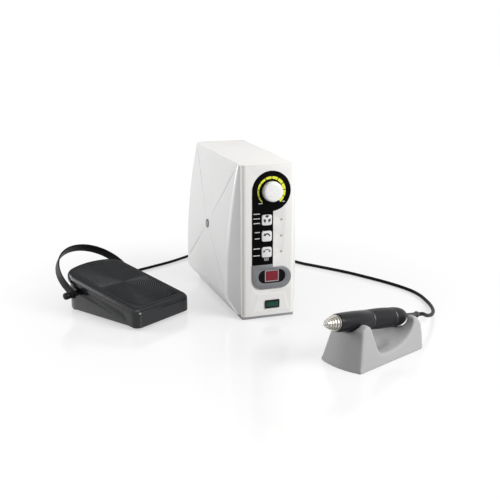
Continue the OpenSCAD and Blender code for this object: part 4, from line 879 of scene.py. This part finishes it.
# Treadle
# A charcoal plastic plate over the whole pedal, hinged at the toe. Its rounded edges are glossy,
# its top is duller, and fine ribs in rings inside a flat border keep the shoe from slipping.
tread_black = moulded("tread_black", (0.008, 0.009, 0.011), tone=0.15, polish=0.4, depth=0.15,
                      Specular_IOR_Level=0.08)
rib_black = moulded("rib_black", (0.010, 0.011, 0.013), tone=0.15, polish=0.24,
                    Specular_IOR_Level=0.22)
pedal = at(-199.2, -11.3, 0) @ Matrix.Rotation(math.radians(33), 4, "Z")
pedal_half, pedal_long, rear_r, bow_r, front_r = 56.5, 87.0, 30.0, 120.0, 10.0
toe_z, slope = 28.5, 34.5 / 174
rear_x = pedal_half - rear_r
bow_y = pedal_long - bow_r
rear_mid = bow_y + math.sqrt((bow_r - rear_r) ** 2 - rear_x ** 2)
bow_start = math.degrees(math.atan2(rear_mid - bow_y, rear_x))


def pedal_plan(inset):
    """The outline from above: a bowed rear with round corners, straight sides, a straight toe."""
    half, front, r = pedal_half - inset, inset - pedal_long, front_r - inset
    low = front + r
    rows = arc(rear_x, rear_mid, rear_r - inset, 0, bow_start, 14)
    rows += arc(0, bow_y, bow_r - inset, bow_start, 180 - bow_start, 16)[1:-1]
    rows += arc(-rear_x, rear_mid, rear_r - inset, 180 - bow_start, 180, 14)
    rows += [(-half, rear_mid + (low - rear_mid) * i / 26) for i in range(1, 26)]
    rows += arc(-half + r, low, r, 180, 270, 8)
    rows += [(-half + r + 2 * (half - r) * i / 12, front) for i in range(1, 12)]
    rows += arc(half - r, low, r, 270, 360, 8)
    rows += [(half, low + (rear_mid - low) * i / 26) for i in range(1, 26)]
    return rows


def treadle_z(y):
    return toe_z + (y + pedal_long) * slope


def skirt_z(y):
    """The lower edge: near the table at the toe, then up to a skirt of even height."""
    toe_gap, skirt, rise_from, rise_over = 3, 12, -76, 22
    t = min(max((y - rise_from) / rise_over, 0), 1)
    return toe_gap + (treadle_z(y) - skirt - toe_gap) * t * t * (3 - 2 * t)


def treadle_shell():
    edge, wall = 7.0, 3.0
    rows = [(wall, lambda y: treadle_z(y) - 3.2), (wall, skirt_z), (0.6, skirt_z),
            (0.0, lambda y: skirt_z(y) + 0.7), (0.0, lambda y: treadle_z(y) - edge - 0.6)]
    for k in range(8):
        a = math.radians(90 * k / 7)
        rows.append((edge * (1 - math.cos(a)),
                     lambda y, a=a: treadle_z(y) - edge + edge * math.sin(a)))
    rows += [(10.8, treadle_z), (11.3, lambda y: treadle_z(y) - 0.12),
             (11.6, lambda y: treadle_z(y) - 0.35)]
    work = bmesh.new()
    lofted(work, [[work.verts.new((x * mm, y * mm, height(y) * mm)) for x, y in pedal_plan(inset)]
                  for inset, height in rows])
    work.transform(pedal)
    ob = built("treadle_shell", work, charcoal, tread_black, smooth=40)
    for face in ob.data.polygons:
        face.material_index = 1 if face.normal.z > 0.9 else 0
    seated(ob, "pedal_treadle")


treadle_shell()


def rib_tree():
    """Rings of ever larger radius, cut off at the border's inner outline and tilted."""
    made, add, maths, given, result = node_group(
        "treadle_ribs", "GeometryNodeTree",
        (("Rings", "Int", 26), ("Pitch", "Float", 0.0033), ("Rib", "Float", 0.0006),
         ("Half width", "Float", 0.0435), ("Half length", "Float", 0.0725),
         ("Corner", "Float", 0.02), ("Slope", "Float", slope), ("Finish", "Material", None)),
        (("Geometry", "Geometry"),))
    row = add("GeometryNodeMeshLine", Count=given["Rings"], Offset=(0, 0, 0))
    ring = add("GeometryNodeMeshCircle", Vertices=160, Radius=1)
    index = add("GeometryNodeInputIndex").outputs[0]
    grown = maths("MULTIPLY", maths("ADD", index, 1.0), given["Pitch"])
    placed = add("GeometryNodeInstanceOnPoints", Points=row.outputs["Mesh"],
                 Instance=ring.outputs["Mesh"],
                 Scale=add("ShaderNodeCombineXYZ", X=grown, Y=grown, Z=grown).outputs[0])
    real = add("GeometryNodeRealizeInstances", Geometry=placed.outputs["Instances"])
    where = add("GeometryNodeInputPosition").outputs[0]
    part = add("ShaderNodeSeparateXYZ", Vector=where).outputs
    over = []
    for axis, half in (("X", "Half width"), ("Y", "Half length")):
        inner = maths("SUBTRACT", given[half], given["Corner"])
        past = maths("MAXIMUM", maths("SUBTRACT", maths("ABSOLUTE", part[axis]), inner), 0.0)
        over.append(maths("MULTIPLY", past, past))
    outside = maths("GREATER_THAN", maths("SQRT", maths("ADD", *over)), given["Corner"])
    trimmed = add("GeometryNodeDeleteGeometry", Geometry=real.outputs["Geometry"],
                  Selection=outside)
    line = add("GeometryNodeMeshToCurve", Mesh=trimmed.outputs["Geometry"])
    profile = add("GeometryNodeCurvePrimitiveCircle", Resolution=6, Radius=given["Rib"])
    tube = add("GeometryNodeCurveToMesh", Curve=line.outputs["Curve"],
               Profile_Curve=profile.outputs["Curve"], Fill_Caps=True)
    lift = add("ShaderNodeCombineXYZ", Z=maths("MULTIPLY", part["Y"], given["Slope"]))
    tilted = add("GeometryNodeSetPosition", Geometry=tube.outputs["Mesh"], Offset=lift.outputs[0])
    painted = add("GeometryNodeSetMaterial", Geometry=tilted.outputs["Geometry"],
                  Material=given["Finish"])
    fill(result, Geometry=painted.outputs["Geometry"])
    return made


ribs = node_mesh("treadle_ribs", rib_tree(), rib_black)
ribs.data.transform(pedal @ at(0, 0, treadle_z(0) - 0.4))
shaded_smooth(ribs.data, 60)
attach(ribs, "treadle")

# Carrying bail
# A flat strip of black lacquered spring steel bent to a loop. It swings on two shouldered screws
# with black knobs at the pedal's sides, and rests leaning backwards.
bail_black = moulded("bail_black", (0.007, 0.007, 0.008), tone=0.2, polish=0.34, grain=1300,
                     Specular_IOR_Level=0.12)
bail_pivot = pedal @ at(0, 46.5, 31.5)


def bail_loop():
    half, reach, leg, wide, thick, edge, lean = 62.15, 85.25, 19.0, 14.0, 2.5, 0.8, 56
    ends = [-wide / 2 * math.sin(math.radians(a)) for a in (88, 75, 60, 45, 30, 15)]
    legs = ends + [leg * i / 4 for i in range(4)]
    path = [(half, z) for z in legs]
    for i in range(73):
        a = math.pi * i / 72
        path.append((half * math.cos(a), leg + (reach - leg) * math.sin(a)))
    path += [(-half, z) for z in legs[::-1]]
    u, v = wide / 2 - edge, thick / 2 - edge
    section = []
    for cx, cy, a0 in ((u, v, 0), (-u, v, 90), (-u, -v, 180), (u, -v, 270)):
        section += arc(cx, cy, edge, a0, a0 + 90, 3)
    work = bmesh.new()
    rows = []
    for i, (x, z) in enumerate(path):
        way = Vector(path[min(i + 1, len(path) - 1)]) - Vector(path[max(i - 1, 0)])
        way.normalize()
        narrow = math.sqrt(1 - min(z / (wide / 2), 0) ** 2)
        rows.append([work.verts.new(((x + way.y * t) * mm, s * narrow * mm, (z - way.x * t) * mm))
                     for s, t in section])
    lofted(work, rows)
    work.transform(bail_pivot @ Matrix.Rotation(-math.radians(lean), 4, "X"))
    seated(built("bail_loop", work, bail_black, smooth=40), "pedal_bail")


bail_loop()
screw_line = [(0, 49.9), (3, 49.9), (3, 63.7), (5.0, 63.7), (5.5, 64.1), (5.5, 66.5), (4.6, 67.5),
              (4.6, 69), (5.3, 70), (5.5, 71.5), (5.5, 76.1), (5.1, 77.1), (4.2, 77.6), (0, 77.65)]
for side, label in ((-1, "left"), (1, "right")):
    place = bail_pivot @ Matrix.Rotation(side * math.pi / 2, 4, "Y")
    seated(turned(label + "_bail_knob", screw_line, place, bail_black, steps=40), "bail_knobs")

# Cords and plugs
# Two black rubber-sheathed cords run over the table to the back of the unit, each with its spare
# length wound into a tied coil behind it and a screwed plug in the rear panel.
cord_black = moulded("cord_black", (0.007, 0.007, 0.008), tone=0.2, polish=0.38, depth=0.1,
                     Specular_IOR_Level=0.06)
plug_grey = moulded("plug_grey", (0.05, 0.05, 0.055), tone=0.15, grain=1000, depth=0.1)
tie_black = moulded("tie_black", (0.03, 0.03, 0.03), tone=0.3, polish=0.65, grain=1600, depth=0.6)
turn_gap, layer_gap, coil_lift, crossing, turn_points, strap_turn = 1.7, 0.7, 1.1, 0.25, 48, 215
plug_y, plug_z, plug_l = 123.2, 64, 37


def laid(points, steps=6):
    """A smooth line through the points, straight in its first and last stretch."""
    last, line = len(points) - 1, [points[0]]
    for i in range(1, last - 1):
        a, b, c, d = points[i - 1:i + 3]
        for k in range(steps):
            t = k / steps
            line.append(0.5 * (2 * b + (c - a) * t + (2 * a - 5 * b + 4 * c - d) * t * t
                               + (3 * b - a - 3 * c + d) * t ** 3))
    return line + points[last - 1:]


def heading(start, way, turns):
    a = math.radians(start + way * 360 * turns)
    return way * Vector((-math.sin(a), math.cos(a), 0))


def wound(x, y, start, way, turns, r, d):
    """Loops that spiral in and out again in two layers."""
    line, rows = [], int(turns * turn_points)
    for i in range(rows + 1):
        t = turns * i / rows
        a = math.radians(start + way * 360 * t)
        radius = r + (d + turn_gap) * max(abs(t - turns / 2) - crossing, 0)
        z = coil_lift + d / 2 + (d + layer_gap) * min(max(2 * (t - turns / 2) + 0.5, 0), 1)
        line.append(Vector((x + radius * math.cos(a), y + radius * math.sin(a), z)))
    first, last = line[0] - d * heading(start, way, 0), line[-1] + d * heading(start, way, turns)
    return [first] + line + [last]


def led(a, a_way, route, b, b_way, d):
    """A stretch that leaves one end and reaches the other straight."""
    return laid([a, a + 2 * d * a_way] + [Vector(p) for p in route] + [b - 2 * d * b_way, b])


def cord_tube(name, line, d):
    """A round tube along a line, with the points it follows and its length, in metres."""
    sides, work, rows, side = 14, bmesh.new(), [], None
    line = [p for i, p in enumerate(line) if i == 0 or (p - line[i - 1]).length > 1e-4]
    for i, p in enumerate(line):
        way = (line[min(i + 1, len(line) - 1)] - line[max(i - 1, 0)]).normalized()
        side = way.cross(Vector((0, 0, 1))) if side is None else side - way * side.dot(way)
        side = side.normalized()
        up = side.cross(way)
        rows.append([work.verts.new((p + d / 2 * (math.cos(a) * side + math.sin(a) * up)) * mm)
                     for a in (math.tau * k / sides for k in range(sides))])
    lofted(work, rows)
    points = [p * mm for p in line]
    length = sum((b - a).length for a, b in zip(points, points[1:]))
    return built(name, work, cord_black, smooth=50), points, length


def strap(name, coil, d):
    """A webbing strap round a coil."""
    (x, y), (turns, r) = coil[:2], coil[4:]
    inner, outer = r - d / 2 - 1, r + (d + turn_gap) * (turns / 2 - crossing) + d / 2 + 1
    low, high, half_wide = 1, 2 * d + layer_gap + 1.2, 6
    loop = []
    for grow in (0, 1):
        q = 1.2 + grow
        x0, x1 = inner - grow + q, outer + grow - q
        z0, z1 = low - grow + q, high + grow - q
        loop.append(arc(x1, z1, q, 0, 90, 5) + arc(x0, z1, q, 90, 180, 5)
                    + arc(x0, z0, q, 180, 270, 5) + arc(x1, z0, q, 270, 360, 5))
    work = bmesh.new()
    rows = [[work.verts.new((u * mm, v * mm, z * mm)) for u, z in loop[k]]
            for k, v in ((0, -half_wide), (1, -half_wide), (1, half_wide), (0, half_wide))]
    lofted(work, rows + rows[:1], capped=False)
    work.transform(at(x, y, 0) @ Matrix.Rotation(math.radians(strap_turn), 4, "Z"))
    return seated(built(name, work, tie_black, smooth=40), "cord_ties")


def plug(name, node, x, d):
    """A grooved coupling nut and a tapered sleeve round the cord."""
    line = [(0, -13.8), (6.3, -13.8), (6.3, 0), (7.9, 0), (8.5, 0.6)]
    for s in (3 + 3.2 * k for k in range(5)):
        line += [(8.5, s), (8.1, s + 0.5), (8.1, s + 1.6), (8.5, s + 2.1)]
    line += [(8.5, 25), (8.2, 25.7), (7.5, 26), (d / 2 + 1.8, 26), (d / 2 + 1.6, 27),
             (d / 2 + 0.8, 36.6), (d / 2 + 0.4, plug_l), (0, plug_l)]
    return seated(turned(name, line, at(x, plug_y, plug_z) @ to_rear, plug_grey, steps=56), node)


def lead(name, d, start, start_way, route, coil, home, socket_x):
    """A cord from its exit to its coil, and from there to its plug."""
    loops = wound(*coil, d)
    angle, way, turns = coil[2:5]
    line = led(start, start_way, route, loops[0], heading(angle, way, 0), d) + loops[1:]
    line += led(loops[-1], heading(angle, way, turns), home,
                Vector((socket_x, plug_y + plug_l, plug_z)), Vector((0, -1, 0)), d)[1:]
    return cord_tube(name, line, d)


handpiece_d, handpiece_x, handpiece_coil = 5.5, 22, (105, 190, 0, 1, 4.25, 23)
boot_end = (held @ Vector((0, 0, boot_tip * mm))) / mm
boot_way = (held.to_3x3() @ Vector((0, 0, 1))).normalized()
cord, points, length = lead("handpiece_lead", handpiece_d, boot_end, boot_way, [
    (198.5, -245, 22), (215.5, -229, 15.5), (231.5, -209, 10.5), (243.8, -190, 7),
    (255.6, -165, 4.5), (264, -138, 3.2), (269, -110, 3), (268, -83, 3), (260, -52, 3),
    (248.5, -22, 3), (234.5, 8, 3), (217.5, 42, 3), (199, 72, 3), (179, 102, 3), (160, 130, 3),
    (148, 155, 3.5)], handpiece_coil, [(72, 226, 14), (48, 214, 32), (30, 196, 52)], handpiece_x)
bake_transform(cord)
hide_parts("handpiece_cord", "handpiece_cord_coil", "handpiece_cord_lead")
[tuple(p) for p in points]
plug("handpiece_plug_shell", "handpiece_plug", handpiece_x, handpiece_d)
strap("handpiece_strap", handpiece_coil, handpiece_d)

pedal_d, pedal_x, pedal_coil = 5.0, -18, (10, 220, 90, -1, 6.25, 17.5)
gland_end = (pedal @ Vector((23 * mm, 97.4 * mm, 14 * mm))) / mm
gland_way = (pedal.to_3x3() @ Vector((0, 1, 0))).normalized()
cord, points, length = lead("pedal_lead", pedal_d, gland_end, gland_way, [
    (-243.5, 106, 6), (-241.5, 124, 2.5), (-227, 143, 2.5), (-201, 160, 2.5), (-167.5, 174, 2.5),
    (-131, 190, 2.5), (-101, 205, 2.5), (-69, 222, 2.5), (-40, 240, 3), (-18, 254, 3.5)],
    pedal_coil, [(44, 188, 16), (24, 182, 34), (-2, 190, 52)], pedal_x)
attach(cord, "set")
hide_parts("pedal_cord", "pedal_cord_coil", "pedal_cord_lead")
[tuple(p) for p in points]
plug("pedal_plug_shell", "pedal_plug", pedal_x, pedal_d)
strap("pedal_strap", pedal_coil, pedal_d)
